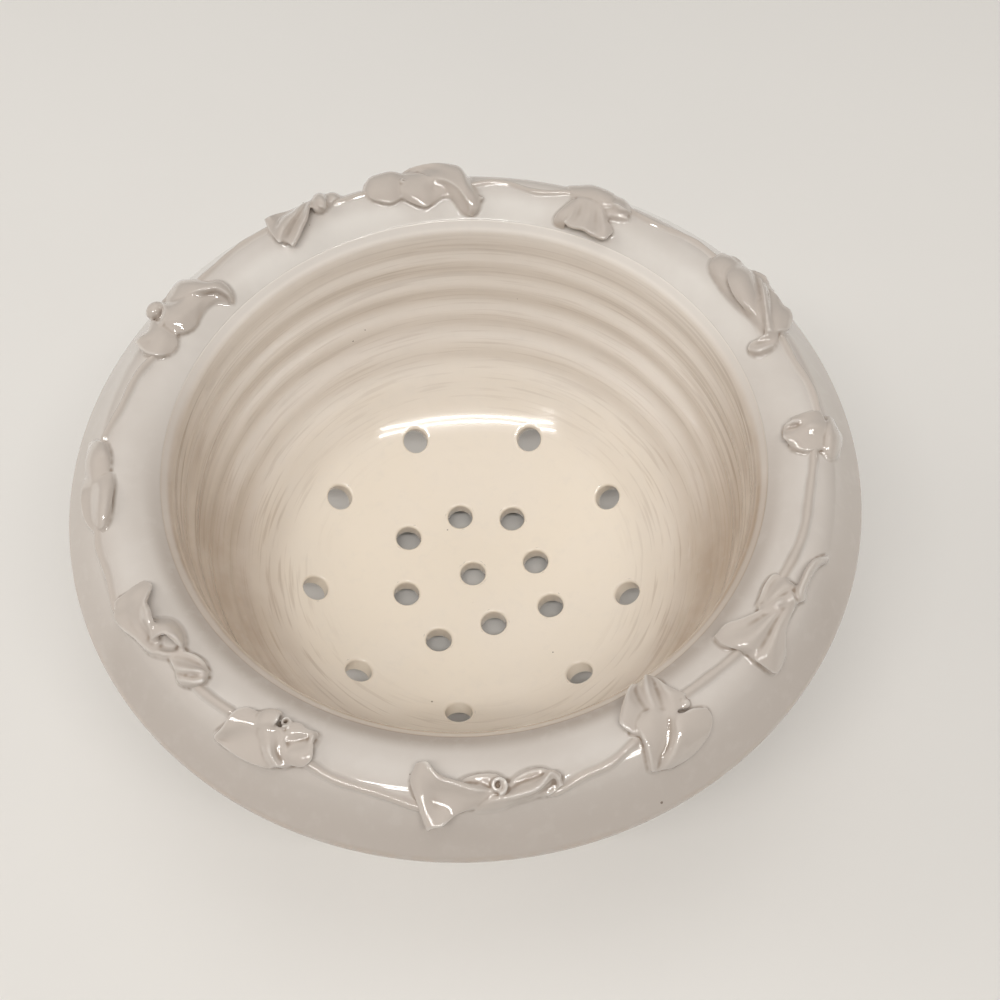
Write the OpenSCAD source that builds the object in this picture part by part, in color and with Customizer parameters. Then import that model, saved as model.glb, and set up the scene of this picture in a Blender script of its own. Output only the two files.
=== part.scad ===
// Berry colander bowl in glazed stoneware: a thrown bowl with drain holes, a
// wide turned-down rim, a foot ring, and a laid vine with folded ivy leaves.
// Millimetres, +Z up, origin on the table under the middle of the foot.

/* [Bowl] */
// Height from the table to the crown of the rim
bowl_h = 84; // [64:1:104]
// Diameter of the opening at the lip
lip_d = 146; // [130:1:156]
// Thickness of the thrown clay in floor and wall
wall_t = 5; // [3.5:0.1:6.5]
// Diameter of the flat middle of the floor
flat_d = 24; // [12:1:32]
// Radius of the dished floor
dish_r = 82; // [70:1:100]
// Steepest slope of the dished floor in degrees
dish_a = 25; // [20:1:30]
// Slope of the upper wall in degrees
wall_a = 86; // [84:0.5:88]

/* [Throwing rings] */
// Spacing of the finger rings down the wall
ring_pitch = 10.5; // [8:0.5:14]
// Depth of a finger ring
ring_deep = 0.7; // [0.3:0.1:1.2]

/* [Rim] */
// Width of the rim from the lip to its outer edge
rim_w = 27; // [24:0.5:36]
// Distance from the lip to the crown of the rim
crown_w = 12; // [11:0.5:14]
// Curve of the rim from the lip to the crown
crown_in_r = 17; // [14:0.5:22]
// Curve of the rim from the crown to the outer slope
crown_out_r = 9.6; // [8.5:0.1:12]
// Downward slope of the outer band in degrees
slope_a = 45; // [38:1:50]
// Thickness of the rim under the crown
rim_t = 6; // [4.5:0.1:7]
// Radius of the rounded outer edge
edge_r = 2; // [1.5:0.1:2.4]
// Radius of the rounded lip
lip_r = 3; // [2:0.1:4]
// Width of the bevelled lip ring inside the rim crease
lip_w = 2.2; // [1.6:0.1:3]

/* [Foot] */
// Outer diameter of the foot ring
foot_d = 81; // [74:1:84]
// Width of the foot ring on the table
foot_w = 5.5; // [4:0.5:7]
// Height of the floor above the table
foot_h = 4; // [3:0.5:6]
// Rounding of the foot ring edges
foot_r = 1.2; // [0.6:0.1:1.8]

/* [Drain holes] */
// Diameter of a drain hole
hole_d = 7.5; // [6:0.1:8]
// Softened edge of a drain hole
hole_soft = 0.8; // [0.4:0.1:1.2]
// Diameter of the outer circle of holes
hole_ring_d = 93; // [90:0.5:98]
// Mean diameter of the inner circle of holes
hole_mid_d = 44; // [38:0.5:46]

/* [Vine] */
// Width of the vine
vine_w = 2.8; // [2:0.1:3.4]
// Height of the vine above the rim
vine_h = 1.6; // [1:0.1:2.4]

/* [Leaves] */
// Length of a full leaf along the midrib
leaf_long = 12; // [10:0.5:13]
// Unit of leaf width from the midrib to one side
leaf_w = 6; // [5:0.1:6.4]
// Unit of leaf relief for folds, pleats and rolled edges
leaf_h = 3; // [2:0.1:4]
// Thickness of the leaf clay at the midrib
leaf_t = 1.1; // [0.8:0.1:1.5]
// Reach of the leaves from the crown across the rim
band_w = 10; // [9:0.5:10.5]
// Width of a full bud
bud_w = 4; // [3.2:0.2:4.4]
// Glaze joint between the rim and what is laid on it
seat_gap = 0.15; // [0.1:0.01:0.25]

/* [Hidden] */
// Steps round one throwing ring
ring_steps = 8;
// Stations along a leaf and across it
leaf_rows = 9;
leaf_cols = 8;
// Stations along a vine and round its section
vine_rows = 14;
vine_cols = 6;
// Azimuths of the holes in the outer circle, seen in the photograph or spaced like them
hole_ring_a = [-171, -134, -95, -50, -14, 27, 67, 112, 150];
// Azimuth and share of the mean radius of the hand-spaced inner holes
hole_shares = [[0, 0], [-162, 0.95], [-115, 1.09], [-70, 0.8], [-27, 1.17],
  [10, 0.88], [56, 1], [101, 0.9], [148, 1.05]];

// Overrun of every cut
cut = 2 * wall_t;

// Rim section: the crown curves, the straight outer slope and the edge centre
crown_r = lip_d / 2 + crown_w;
crease_a = asin((crown_w - lip_w) / crown_in_r);
crease_z = bowl_h - crown_in_r * (1 - cos(crease_a));
slope_r = crown_r + crown_out_r * sin(slope_a);
slope_z = bowl_h - crown_out_r * (1 - cos(slope_a));
edge_c = lip_d / 2 + rim_w - edge_r;
edge_t = edge_c + edge_r * sin(slope_a);
edge_z = slope_z - (edge_t - slope_r) * tan(slope_a) - edge_r * cos(slope_a);
under_in_r = crown_in_r - rim_t;
under_out_r = crown_out_r - rim_t;
seam_r = lip_d / 2 + wall_t;
seam_a = asin((crown_r - seam_r) / under_in_r);
seam_z = bowl_h - crown_in_r + under_in_r * cos(seam_a);

// Lip: rounded from the wall slope to the bevel, then straight to the crease
bevel_a = 50;
lip_in = lip_d / 2;
bevel_w = lip_w - lip_r * (sin(wall_a) - sin(bevel_a));
lip_z = crease_z - bevel_w * tan(bevel_a) - lip_r * (cos(bevel_a) - cos(wall_a));

// Floor and wall: flat disc, dished floor, tight turn, straight wall up to the lip
floor_z = foot_h + wall_t;
dish_x = flat_d / 2 + dish_r * sin(dish_a);
dish_z = floor_z + dish_r * (1 - cos(dish_a));
turn_in = (lip_in - dish_x) - (lip_z - dish_z) / tan(wall_a);
turn_k = (sin(wall_a) - sin(dish_a)) - (cos(dish_a) - cos(wall_a)) / tan(wall_a);
turn_r = turn_in / turn_k;
turn_x = dish_x + turn_r * (sin(wall_a) - sin(dish_a));
turn_z = dish_z + turn_r * (cos(dish_a) - cos(wall_a));
wall_l = (lip_z - turn_z) / sin(wall_a);
turn_l = turn_r * (wall_a - dish_a) * PI / 180;

// Point on the inside of the wall at a length down from the lip, with finger rings
function slope_at(l) = l < wall_l ? wall_a : wall_a - (l - wall_l) / turn_r * 180 / PI;
function wall_x(l) = l < wall_l ? lip_in - l * cos(wall_a)
  : turn_x - turn_r * (sin(wall_a) - sin(slope_at(l)));
function wall_z(l) = l < wall_l ? lip_z - l * sin(wall_a)
  : turn_z - turn_r * (cos(slope_at(l)) - cos(wall_a));
function fade(l) = min(1, min(l, wall_l + turn_l - l) / ring_pitch);
function ring(l) = ring_deep * fade(l) * (1 - cos(360 * l / ring_pitch)) / 2;
function wall_pt(l) = [wall_x(l) + ring(l) * sin(slope_at(l)), wall_z(l) - ring(l) * cos(slope_at(l))];

// Slope and height of the inside where a hole at radius x is drilled
function tilt_at(x) = x < flat_d / 2 ? 0
  : x < dish_x ? asin((x - flat_d / 2) / dish_r)
  : asin(sin(dish_a) + (x - dish_x) / turn_r);
function inside_z(x) = x < flat_d / 2 ? floor_z
  : x < dish_x ? floor_z + dish_r * (1 - cos(tilt_at(x)))
  : dish_z + turn_r * (cos(dish_a) - cos(tilt_at(x)));

// Rim top at distance s from the crown: radius, height, sine and cosine of its tilt
function tilt_s(s) = s < 0
  ? max(s / crown_in_r * 180 / PI, -crease_a)
  : min(s / crown_out_r * 180 / PI, slope_a);
function bend_r(s) = s < 0 ? crown_in_r : crown_out_r;
function past(s) = s - tilt_s(s) * PI / 180 * bend_r(s);
function top_r(s) = crown_r + bend_r(s) * sin(tilt_s(s)) + past(s) * cos(tilt_s(s));
function top_z(s) = bowl_h - bend_r(s) * (1 - cos(tilt_s(s))) - past(s) * sin(tilt_s(s));
function on_top(a, s, h) = [
  (top_r(s) + h * sin(tilt_s(s))) * cos(a),
  (top_r(s) + h * sin(tilt_s(s))) * sin(a),
  top_z(s) + h * cos(tilt_s(s))];
function turn_deg(u) = u / crown_r * 180 / PI;

// The thrown bowl is built as floor, belly and wall rings that meet face to face:
// the first seam lies just outside the drain holes, the second part of the way up
floor_end_a = 38;
belly_share = 0.75;
floor_x = (hole_ring_d + hole_d + wall_t) / 2 + hole_soft;
floor_a = max(floor_end_a, asin(sin(dish_a) + (floor_x - dish_x) / turn_r));
belly_a = floor_a + belly_share * (wall_a - floor_a);
dish_steps = 6;
turn_steps = 5;
function out_pt(a) = [dish_x + (turn_r + wall_t) * sin(a) - turn_r * sin(dish_a),
  dish_z + turn_r * cos(dish_a) - (turn_r + wall_t) * cos(a)];
function out_pts(from, to) = [for (i = [0:turn_steps]) out_pt(from + (to - from) * i / turn_steps)];
floor_out = [
  [0, foot_h],
  for (i = [0:dish_steps - 1])
    [flat_d / 2 + (dish_r + wall_t) * sin(dish_a * i / dish_steps),
     floor_z + dish_r - (dish_r + wall_t) * cos(dish_a * i / dish_steps)],
  each out_pts(dish_a, floor_a)];
belly_out = out_pts(floor_a, belly_a);
wall_out = out_pts(belly_a, wall_a);

// Lip ring from the crease down to the straight wall
lip_steps = 4;
lip_pts = [
  [crown_r - crown_in_r * sin(crease_a), crease_z],
  for (i = [0:lip_steps])
    let (a = bevel_a + (wall_a - bevel_a) * i / lip_steps)
    [lip_in + lip_r * (sin(wall_a) - sin(a)), lip_z + lip_r * (cos(a) - cos(wall_a))]];

// Inside faces between two lengths down from the lip, and on to the axis
function down_to(a) = wall_l + turn_r * (wall_a - a) * PI / 180;
function in_pts(from, to) = let (n = ceil((to - from) / ring_pitch * ring_steps))
  [for (i = [0:n]) wall_pt(from + (to - from) * i / n)];
belly_in = in_pts(down_to(belly_a), down_to(floor_a));
wall_in = in_pts(0, down_to(belly_a));
floor_in = [
  each in_pts(down_to(floor_a), down_to(dish_a)),
  for (i = [dish_steps - 1:-1:0])
    [flat_d / 2 + dish_r * sin(dish_a * i / dish_steps),
     floor_z + dish_r * (1 - cos(dish_a * i / dish_steps))],
  [0, floor_z]];

// Solid shape inside the outer faces, used to fit the foot ring to the bowl
module bowl_envelope()
  rotate_extrude()
    polygon([each floor_out, each belly_out, each wall_out, [seam_r, bowl_h], [0, bowl_h]]);

// One drain hole, drilled square to the clay, with softened edges
module drain(a, x)
  rotate([0, 0, a])
    translate([x, 0, inside_z(x)])
      rotate([0, -tilt_at(x), 0])
        rotate_extrude()
          polygon([[0, cut], [hole_d / 2 + hole_soft + cut, cut], [hole_d / 2, -hole_soft],
            [hole_d / 2, hole_soft - wall_t],
            [hole_d / 2 + hole_soft + cut, -wall_t - cut],
            [0, -wall_t - cut]]);

module bowl_floor()
  color("oldlace")
    difference() {
      rotate_extrude()
        polygon([each floor_out, each floor_in]);
      for (a = hole_ring_a)
        drain(a, hole_ring_d / 2);
      for (h = hole_shares)
        drain(h[0], h[1] * hole_mid_d / 2);
    }

module bowl_belly()
  color("floralwhite")
    rotate_extrude()
      polygon([each belly_out, each belly_in]);

module bowl_wall()
  color("linen")
    rotate_extrude()
      polygon([each wall_out, [seam_r, seam_z], each lip_pts, for (i = [1:len(wall_in) - 1]) wall_in[i]]);

// Wide rim: crown curves, outer slope, rounded edge and hollow underside
rim_steps = 6;
module rim()
  color("seashell")
    rotate_extrude()
      polygon([
        for (i = [-rim_steps:0])
          [crown_r + crown_in_r * sin(crease_a * i / rim_steps),
           bowl_h - crown_in_r * (1 - cos(crease_a * i / rim_steps))],
        for (i = [1:rim_steps])
          [crown_r + crown_out_r * sin(slope_a * i / rim_steps),
           bowl_h - crown_out_r * (1 - cos(slope_a * i / rim_steps))],
        for (i = [0:2 * rim_steps])
          let (a = slope_a + 180 * i / rim_steps / 2)
          [edge_c + edge_r * sin(a), edge_z + edge_r * cos(a)],
        for (i = [rim_steps:-1:1])
          [crown_r + under_out_r * sin(slope_a * i / rim_steps),
           bowl_h - crown_out_r + under_out_r * cos(slope_a * i / rim_steps)],
        for (i = [0:rim_steps])
          [crown_r - under_in_r * sin(seam_a * i / rim_steps),
           bowl_h - crown_in_r + under_in_r * cos(seam_a * i / rim_steps)]]);

// Foot ring with rounded edges, its top fitted to the underside of the bowl
module foot_ring()
  color("wheat")
    difference() {
      rotate_extrude()
        polygon([
          [foot_d / 2 - foot_w, floor_z + dish_r / 4],
          [foot_d / 2 - foot_w, foot_r],
          [foot_d / 2 - foot_w + foot_r * (1 - cos(45)), foot_r * (1 - sin(45))],
          [foot_d / 2 - foot_w + foot_r, 0],
          [foot_d / 2 - foot_r, 0],
          [foot_d / 2 - foot_r * (1 - sin(45)), foot_r * (1 - cos(45))],
          [foot_d / 2, foot_r],
          [foot_d / 2, floor_z + dish_r / 4]]);
      bowl_envelope();
    }

// Two triangles that fill the four corners a, b, c, d
function quad(a, b, c, d) = [[a, b, c], [a, c, d]];

// Leaf laid on the rim, shaped along t from base to tip and v from side to side.
// az, out and head place it; full, fan, notch, lobe and bend shape the outline;
// cup, ridge, pleat, roll, tip and wave fold it. All are shares of the leaf units.
module leaf(az, out, head, long, wide, full = [0.6, 0.6], fan = 0, flare = 1, notch = 0,
  lobe = 0, bend = 0, cup = 0, ridge = 0, pleat = 0, folds = 1, roll = [0, 0], tip = 0,
  wave = 0, waves = 1) {
  peak = full[0] / (full[0] + full[1]);
  function lens(t) = pow(t / peak, full[0]) * pow((1 - t) / (1 - peak), full[1]);
  function half(t) = 0.94 * ((1 - fan) * lens(t) + fan * pow(t, flare)) + 0.06;
  function side(v, pair) = v > 0 ? pair[0] : pair[1];
  function along(t, v) = t + notch * t * t * pow(abs(v), 1.5) - lobe * pow(abs(v), 1.2) * pow(1 - t, 3);
  function across(t, v) = leaf_w * side(v, wide) * half(t) * v + leaf_long * long * bend * t * t;
  function arch(t) = max(0, sin(180 * t));
  function edge(v) = pow(max(0, (abs(v) - 0.35) / 0.65), 2);
  function lift(t, v) = cup * pow(abs(v), 1.3) * sqrt(arch(t))
    + ridge * (1 - abs(v)) * pow(arch(t), 0.7)
    + pleat * t * (1 - cos(180 * folds * (v + 1))) / 2
    + side(v, roll) * edge(v) * sin(144 * t)
    + tip * t * t * t
    + wave * (1 - cos(360 * waves * t)) / 2 * pow(abs(v), 1.5);
  function thick(v) = leaf_t * (1 - 0.55 * v * v);
  function at(t, v, up) = on_top(
    az + turn_deg(leaf_long * long * along(t, v) * cos(head) - across(t, v) * sin(head)),
    band_w * out + leaf_long * long * along(t, v) * sin(head) + across(t, v) * cos(head),
    seat_gap + leaf_h * lift(t, v) + up * thick(v));
  wide_n = leaf_cols + 1;
  layer = (leaf_rows + 1) * wide_n;
  pts = [for (up = [1, 0]) for (i = [0:leaf_rows]) for (j = [0:leaf_cols])
    at(i / leaf_rows, 2 * j / leaf_cols - 1, up)];
  faces = [
    for (i = [0:leaf_rows - 1]) for (j = [0:leaf_cols - 1])
      let (p = i * wide_n + j)
      each quad(p, p + 1, p + 1 + wide_n, p + wide_n),
    for (i = [0:leaf_rows - 1]) for (j = [0:leaf_cols - 1])
      let (p = layer + i * wide_n + j)
      each quad(p, p + wide_n, p + 1 + wide_n, p + 1),
    for (i = [0:leaf_rows - 1]) for (e = [0, 1])
      let (p = i * wide_n + e * leaf_cols, q = p + wide_n)
      each (e == 0 ? quad(p, q, q + layer, p + layer) : quad(q, p, p + layer, q + layer)),
    for (j = [0:leaf_cols - 1]) for (e = [0, 1])
      let (p = e * leaf_rows * wide_n + j, q = p + 1)
      each (e == 0 ? quad(q, p, p + layer, q + layer) : quad(p, q, q + layer, p + layer))];
  polyhedron(pts, faces);
}

// Vine laid on the rim from one azimuth and distance to another, wandering between
module vine(from, to, wander) {
  function thin(t) = 1 - 0.35 * pow(abs(2 * t - 1), 6);
  function mid(t) = band_w * (from[1] + (to[1] - from[1]) * t + wander * sin(360 * t));
  function at(t, a) = on_top(
    from[0] + (to[0] - from[0]) * t,
    mid(t) + vine_w / 2 * thin(t) * cos(a),
    seat_gap + vine_h * thin(t) * sin(a));
  wide_n = vine_cols + 1;
  last = vine_rows * wide_n;
  pts = [for (i = [0:vine_rows]) for (j = [0:vine_cols]) at(i / vine_rows, 180 * j / vine_cols)];
  faces = [
    for (i = [0:vine_rows - 1]) for (j = [0:vine_cols])
      let (p = i * wide_n + j, q = i * wide_n + (j + 1) % wide_n)
      each quad(p, p + wide_n, q + wide_n, q),
    for (j = [1:vine_cols - 1]) [0, j, j + 1],
    for (j = [1:vine_cols - 1]) [last, last + j + 1, last + j]];
  polyhedron(pts, faces);
}

// Stands a small piece square on the rim
module stand(az, out)
  rotate([0, 0, az])
    translate([top_r(band_w * out), 0, top_z(band_w * out)])
      rotate([0, tilt_s(band_w * out), 0])
        translate([0, 0, seat_gap])
          children();

// Closed bud: a squat egg on a narrower foot
bud_steps = 8;
module bud(size)
  rotate_extrude()
    polygon([[0, 0],
      for (i = [1:bud_steps])
        let (a = 180 * i / bud_steps)
        [bud_w / 2 * size * (0.25 * (1 + cos(a)) / 2 + sin(a)), bud_w / 2 * size * (1 - cos(a)) * 0.8]]);

// Rolled leaf edge standing on end: a strip wound into a spiral
curl_steps = 20;
curl_turns = 1.4;
module curl(size, tall)
  linear_extrude(bud_w / 2 * tall)
    polygon([
      for (i = [0:curl_steps])
        let (a = 360 * curl_turns * i / curl_steps, r = bud_w / 2 * size * (1 - 0.58 * i / curl_steps))
        [r * cos(a), r * sin(a)],
      for (i = [curl_steps:-1:0])
        let (a = 360 * curl_turns * i / curl_steps, r = bud_w / 2 * size * (0.76 - 0.58 * i / curl_steps))
        [r * cos(a), r * sin(a)]]);

module vine_1()
  color("antiquewhite")
    vine(from = [-112.2, 0.27], to = [-96.8, 0.62], wander = 0.04);

module vine_2()
  color("antiquewhite")
    vine(from = [-132.6, 0.16], to = [-128.4, 0.12], wander = 0);

module vine_3()
  color("antiquewhite")
    vine(from = [-166, 0.52], to = [-153.9, 0.6], wander = 0.06);

module vine_4()
  color("antiquewhite")
    vine(from = [161.2, -0.05], to = [175.6, 0.35], wander = 0.05);

module vine_5()
  color("antiquewhite")
    vine(from = [128.8, 0.45], to = [144.6, 0.4], wander = 0.05);

module vine_6()
  color("antiquewhite")
    vine(from = [109.9, 0.22], to = [111.6, 0.22], wander = 0);

module vine_7()
  color("antiquewhite")
    vine(from = [71.4, 0.1], to = [87.6, 0.04], wander = -0.12);

module vine_8()
  color("antiquewhite")
    vine(from = [40.6, 0.45], to = [55.8, 0.24], wander = 0.08);

module vine_9()
  color("antiquewhite")
    vine(from = [5.4, 0.42], to = [17, 0.26], wander = 0.04);

module vine_10()
  color("antiquewhite")
    vine(from = [-28.2, -0.15], to = [-3.6, 0.1], wander = 0.04);

module vine_11()
  color("antiquewhite")
    vine(from = [-54, -0.19], to = [-45.9, -0.1], wander = 0);

module vine_12()
  color("antiquewhite")
    vine(from = [-75.6, 0.45], to = [-67.4, 0.22], wander = -0.03);

module leaf_1a()
  color("linen")
    leaf(az = -85.6, out = 0.46, head = 175, long = 1, wide = [1.22, 1.36],
      fan = 0.95, flare = 1.15, notch = 0.25, cup = 0.3, pleat = 0.3, roll = [0.3, 0.5], tip = 0.55);

module leaf_1b()
  color("linen")
    leaf(az = -87, out = -0.06, head = 176, long = 0.62, wide = [0.36, 0.34],
      full = [0.8, 0.8], ridge = 0.4);

module leaf_1c()
  color("linen")
    leaf(az = -86.4, out = 0.8, head = -20, long = 1.32, wide = [0.44, 0.5],
      full = [0.7, 0.55], bend = 0.05, ridge = 0.75, roll = [0, 0.35], wave = 0.35, waves = 1.5);

module leaf_2a()
  color("linen")
    leaf(az = -119.8, out = 0.24, head = 160, long = 1, wide = [1.05, 1.05],
      full = [0.55, 1.25], lobe = 0.12, cup = 0.15, ridge = 0.45, roll = [0.2, 0]);

module leaf_2b()
  color("linen")
    leaf(az = -118.7, out = -0.1, head = -100, long = 0.46, wide = [0.42, 0.55],
      full = [0.5, 0.4], ridge = 0.55, tip = 0.3);

module leaf_2c()
  color("linen")
    leaf(az = -117.4, out = 0.28, head = -32, long = 0.72, wide = [0.66, 0.62],
      full = [0.45, 0.75], lobe = 0.12, cup = 0.25, ridge = 0.3, roll = [0.4, 0.2]);

module leaf_3a()
  color("linen")
    leaf(az = -142.8, out = 0.22, head = -177, long = 1.26, wide = [0.62, 0.9],
      fan = 0.75, flare = 1.1, notch = 0.1, ridge = 0.8, pleat = 0.2, tip = 0.35);

module leaf_3b()
  color("linen")
    leaf(az = -143.9, out = 0, head = -62, long = 0.55, wide = [0.6, 0.5],
      full = [0.5, 0.3], ridge = 0.9, tip = 0.5);

module leaf_3c()
  color("linen")
    leaf(az = -141, out = 0.34, head = -14, long = 0.94, wide = [0.46, 0.46],
      full = [0.5, 0.45], cup = 0.5, ridge = 0.1, roll = [0.5, 0]);

module leaf_4a()
  color("linen")
    leaf(az = -176.2, out = 0.38, head = 165, long = 0.92, wide = [0.85, 0.8],
      full = [0.5, 0.6], lobe = 0.12, cup = 0.1, ridge = 0.5);

module leaf_4b()
  color("linen")
    leaf(az = -174, out = 0.3, head = 10, long = 0.95, wide = [0.6, 0.75],
      full = [0.5, 0.9], cup = 0.35, ridge = 0.25, roll = [0, 0.4]);

module leaf_5a()
  color("linen")
    leaf(az = 153, out = 0.02, head = -148, long = 1.36, wide = [0.9, 0.7],
      full = [0.45, 0.75], bend = 0.06, cup = 0.35, ridge = 0.2, roll = [0, 0.9], tip = 0.5);

module leaf_5b()
  color("linen")
    leaf(az = 149.6, out = 0.52, head = 176, long = 0.62, wide = [0.5, 0.62],
      full = [0.4, 0.35], ridge = 0.7);

module leaf_5c()
  color("linen")
    leaf(az = 155.2, out = 0.26, head = -6, long = 0.62, wide = [0.85, 1],
      fan = 0.85, notch = 0.15, pleat = 0.4, tip = 0.5);

module leaf_6a()
  color("linen")
    leaf(az = 118.6, out = 0.18, head = -12, long = 1.12, wide = [0.82, 0.98],
      fan = 1, notch = 0.02, ridge = 0.25, pleat = 0.75, folds = 2, tip = 0.35);

module leaf_6b()
  color("linen")
    leaf(az = 115.6, out = 0.24, head = -178, long = 0.42, wide = [0.3, 0.3],
      full = [0.6, 0.8], ridge = 0.4);

module leaf_7a()
  color("linen")
    leaf(az = 102, out = 0.04, head = 8, long = 0.9, wide = [0.72, 0.66],
      full = [0.5, 0.55], cup = 0.35, roll = [0.35, 0]);

module leaf_7b()
  color("linen")
    leaf(az = 100.8, out = -0.24, head = -166, long = 0.85, wide = [0.5, 0.42],
      full = [0.45, 0.35], cup = 0.2, ridge = 0.15, wave = 0.6, waves = 1.5);

module leaf_7c()
  color("linen")
    leaf(az = 99.8, out = 0.36, head = 176, long = 1.22, wide = [0.42, 0.46],
      full = [0.5, 0.5], bend = 1.02, ridge = 0.5, roll = [0, 0.5], tip = 0.5);

module leaf_8a()
  color("linen")
    leaf(az = 64, out = -0.16, head = -84, long = 0.72, wide = [1.22, 1.3],
      fan = 0.9, flare = 0.9, notch = -0.05, pleat = 0.7, folds = 2, tip = 0.35);

module leaf_8b()
  color("linen")
    leaf(az = 64.6, out = 0.26, head = 12, long = 0.78, wide = [0.5, 0.5],
      full = [0.5, 0.5], ridge = 0.35);

module leaf_8c()
  color("linen")
    leaf(az = 61.2, out = 0.16, head = -176, long = 0.58, wide = [0.36, 0.36],
      full = [0.5, 0.8], ridge = 0.55);

module leaf_9a()
  color("linen")
    leaf(az = 19.9, out = -0.02, head = 6, long = 2.42, wide = [0.56, 1],
      full = [1.05, 0.42], bend = 0.04, cup = 0.5, ridge = 0.1, roll = [0.35, 0], wave = 0.1);

module leaf_9b()
  color("linen")
    leaf(az = 18.5, out = -0.16, head = -96, long = 0.52, wide = [0.42, 0.42],
      full = [0.5, 0.5], ridge = 0.6);

module leaf_9c()
  color("linen")
    leaf(az = 19.2, out = 0.42, head = 11, long = 1.65, wide = [0.42, 0.2],
      full = [0.5, 0.9], ridge = 0.6, roll = [0.3, 0]);

module leaf_10a()
  color("linen")
    leaf(az = -1.6, out = 0.22, head = -52, long = 0.84, wide = [0.72, 0.6],
      fan = 0.75, notch = -0.05, pleat = 0.5, tip = 0.25);

module leaf_10b()
  color("linen")
    leaf(az = -1.8, out = 0.46, head = 42, long = 0.8, wide = [0.42, 0.6],
      full = [0.5, 0.6], cup = 0.15, ridge = 0.55);

module leaf_11a()
  color("linen")
    leaf(az = -32.6, out = 0.24, head = -176, long = 1.46, wide = [1.15, 1],
      fan = 0.9, notch = 0.1, pleat = 0.6, folds = 3, tip = 0.4);

module leaf_11b()
  color("linen")
    leaf(az = -31.2, out = 0.02, head = -128, long = 0.66, wide = [0.55, 0.34],
      full = [0.5, 0.45], ridge = 0.55);

module leaf_11c()
  color("linen")
    leaf(az = -31, out = 0.36, head = 6, long = 1.12, wide = [0.26, 0.28],
      full = [0.4, 0.5], bend = 0.06, ridge = 0.8, wave = 0.5);

module leaf_12a()
  color("linen")
    leaf(az = -58.2, out = 0.16, head = 144, long = 1.15, wide = [1.32, 1.4],
      full = [0.4, 1.1], lobe = 0.2, cup = 0.6, tip = 0.15);

module leaf_12b()
  color("linen")
    leaf(az = -56.6, out = -0.26, head = -131, long = 1, wide = [1, 1],
      full = [0.5, 0.2], fan = 0.62, flare = 0.9, notch = -0.05, pleat = 0.6, folds = 2);

module curl_1()
  color("ivory")
    stand(-84.7, 0.12)
      curl(0.85, 1.1);

module curl_2()
  color("ivory")
    stand(-116.4, -0.47)
      curl(0.65, 1.2);

module bud_5()
  color("ivory")
    stand(152.6, 0.56)
      bud(0.95);

module bud_6()
  color("ivory")
    stand(116.9, 0.24)
      bud(0.78);

module curl_7()
  color("ivory")
    stand(101, 0.34)
      curl(0.5, 1.2);

module bud_12()
  color("ivory")
    stand(-55.7, -0.02)
      bud(0.55);

bowl_floor();
bowl_belly();
bowl_wall();
rim();
foot_ring();
vine_1();
vine_2();
vine_3();
vine_4();
vine_5();
vine_6();
vine_7();
vine_8();
vine_9();
vine_10();
vine_11();
vine_12();
leaf_1a();
leaf_1b();
leaf_1c();
leaf_2a();
leaf_2b();
leaf_2c();
leaf_3a();
leaf_3b();
leaf_3c();
leaf_4a();
leaf_4b();
leaf_5a();
leaf_5b();
leaf_5c();
leaf_6a();
leaf_6b();
leaf_7a();
leaf_7b();
leaf_7c();
leaf_8a();
leaf_8b();
leaf_8c();
leaf_9a();
leaf_9b();
leaf_9c();
leaf_10a();
leaf_10b();
leaf_11a();
leaf_11b();
leaf_11c();
leaf_12a();
leaf_12b();
curl_1();
curl_2();
bud_5();
bud_6();
curl_7();
bud_12();
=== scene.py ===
# Berry colander bowl in glazed stoneware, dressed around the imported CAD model
import bpy
import bmesh
import math
import numpy as np
from mathutils import Matrix
from mathutils.geometry import delaunay_2d_cdt


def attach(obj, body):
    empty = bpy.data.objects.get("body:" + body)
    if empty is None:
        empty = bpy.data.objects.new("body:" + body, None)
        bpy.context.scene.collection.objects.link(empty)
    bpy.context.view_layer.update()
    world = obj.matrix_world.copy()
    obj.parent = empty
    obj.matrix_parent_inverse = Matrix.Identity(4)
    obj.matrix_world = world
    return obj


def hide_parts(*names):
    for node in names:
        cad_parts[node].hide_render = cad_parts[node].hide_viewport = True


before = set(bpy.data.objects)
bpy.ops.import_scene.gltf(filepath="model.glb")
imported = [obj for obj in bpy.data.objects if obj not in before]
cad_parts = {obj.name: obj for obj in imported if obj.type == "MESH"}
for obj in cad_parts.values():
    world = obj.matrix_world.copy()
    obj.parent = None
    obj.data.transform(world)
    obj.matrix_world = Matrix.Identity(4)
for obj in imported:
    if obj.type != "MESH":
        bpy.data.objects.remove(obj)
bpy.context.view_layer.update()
scene = bpy.context.scene
scene.view_settings.view_transform = "Standard"

mm = 0.001
pi = math.pi
weldWithin = 1e-4   # points nearer to each other than this, in millimetres, are one point


# arrays to meshes

# quads of a grid whose points run along each row; closed joins the last column to the first
def gridFaces(rows, cols, first=0, closed=False):
    r, c = np.meshgrid(np.arange(rows - 1), np.arange(cols if closed else cols - 1), indexing="ij")
    n = (c + 1) % cols
    corners = [r * cols + c, r * cols + n, (r + 1) * cols + n, (r + 1) * cols + c]
    return (first + np.stack(corners, -1)).reshape(-1, 4)


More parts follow.
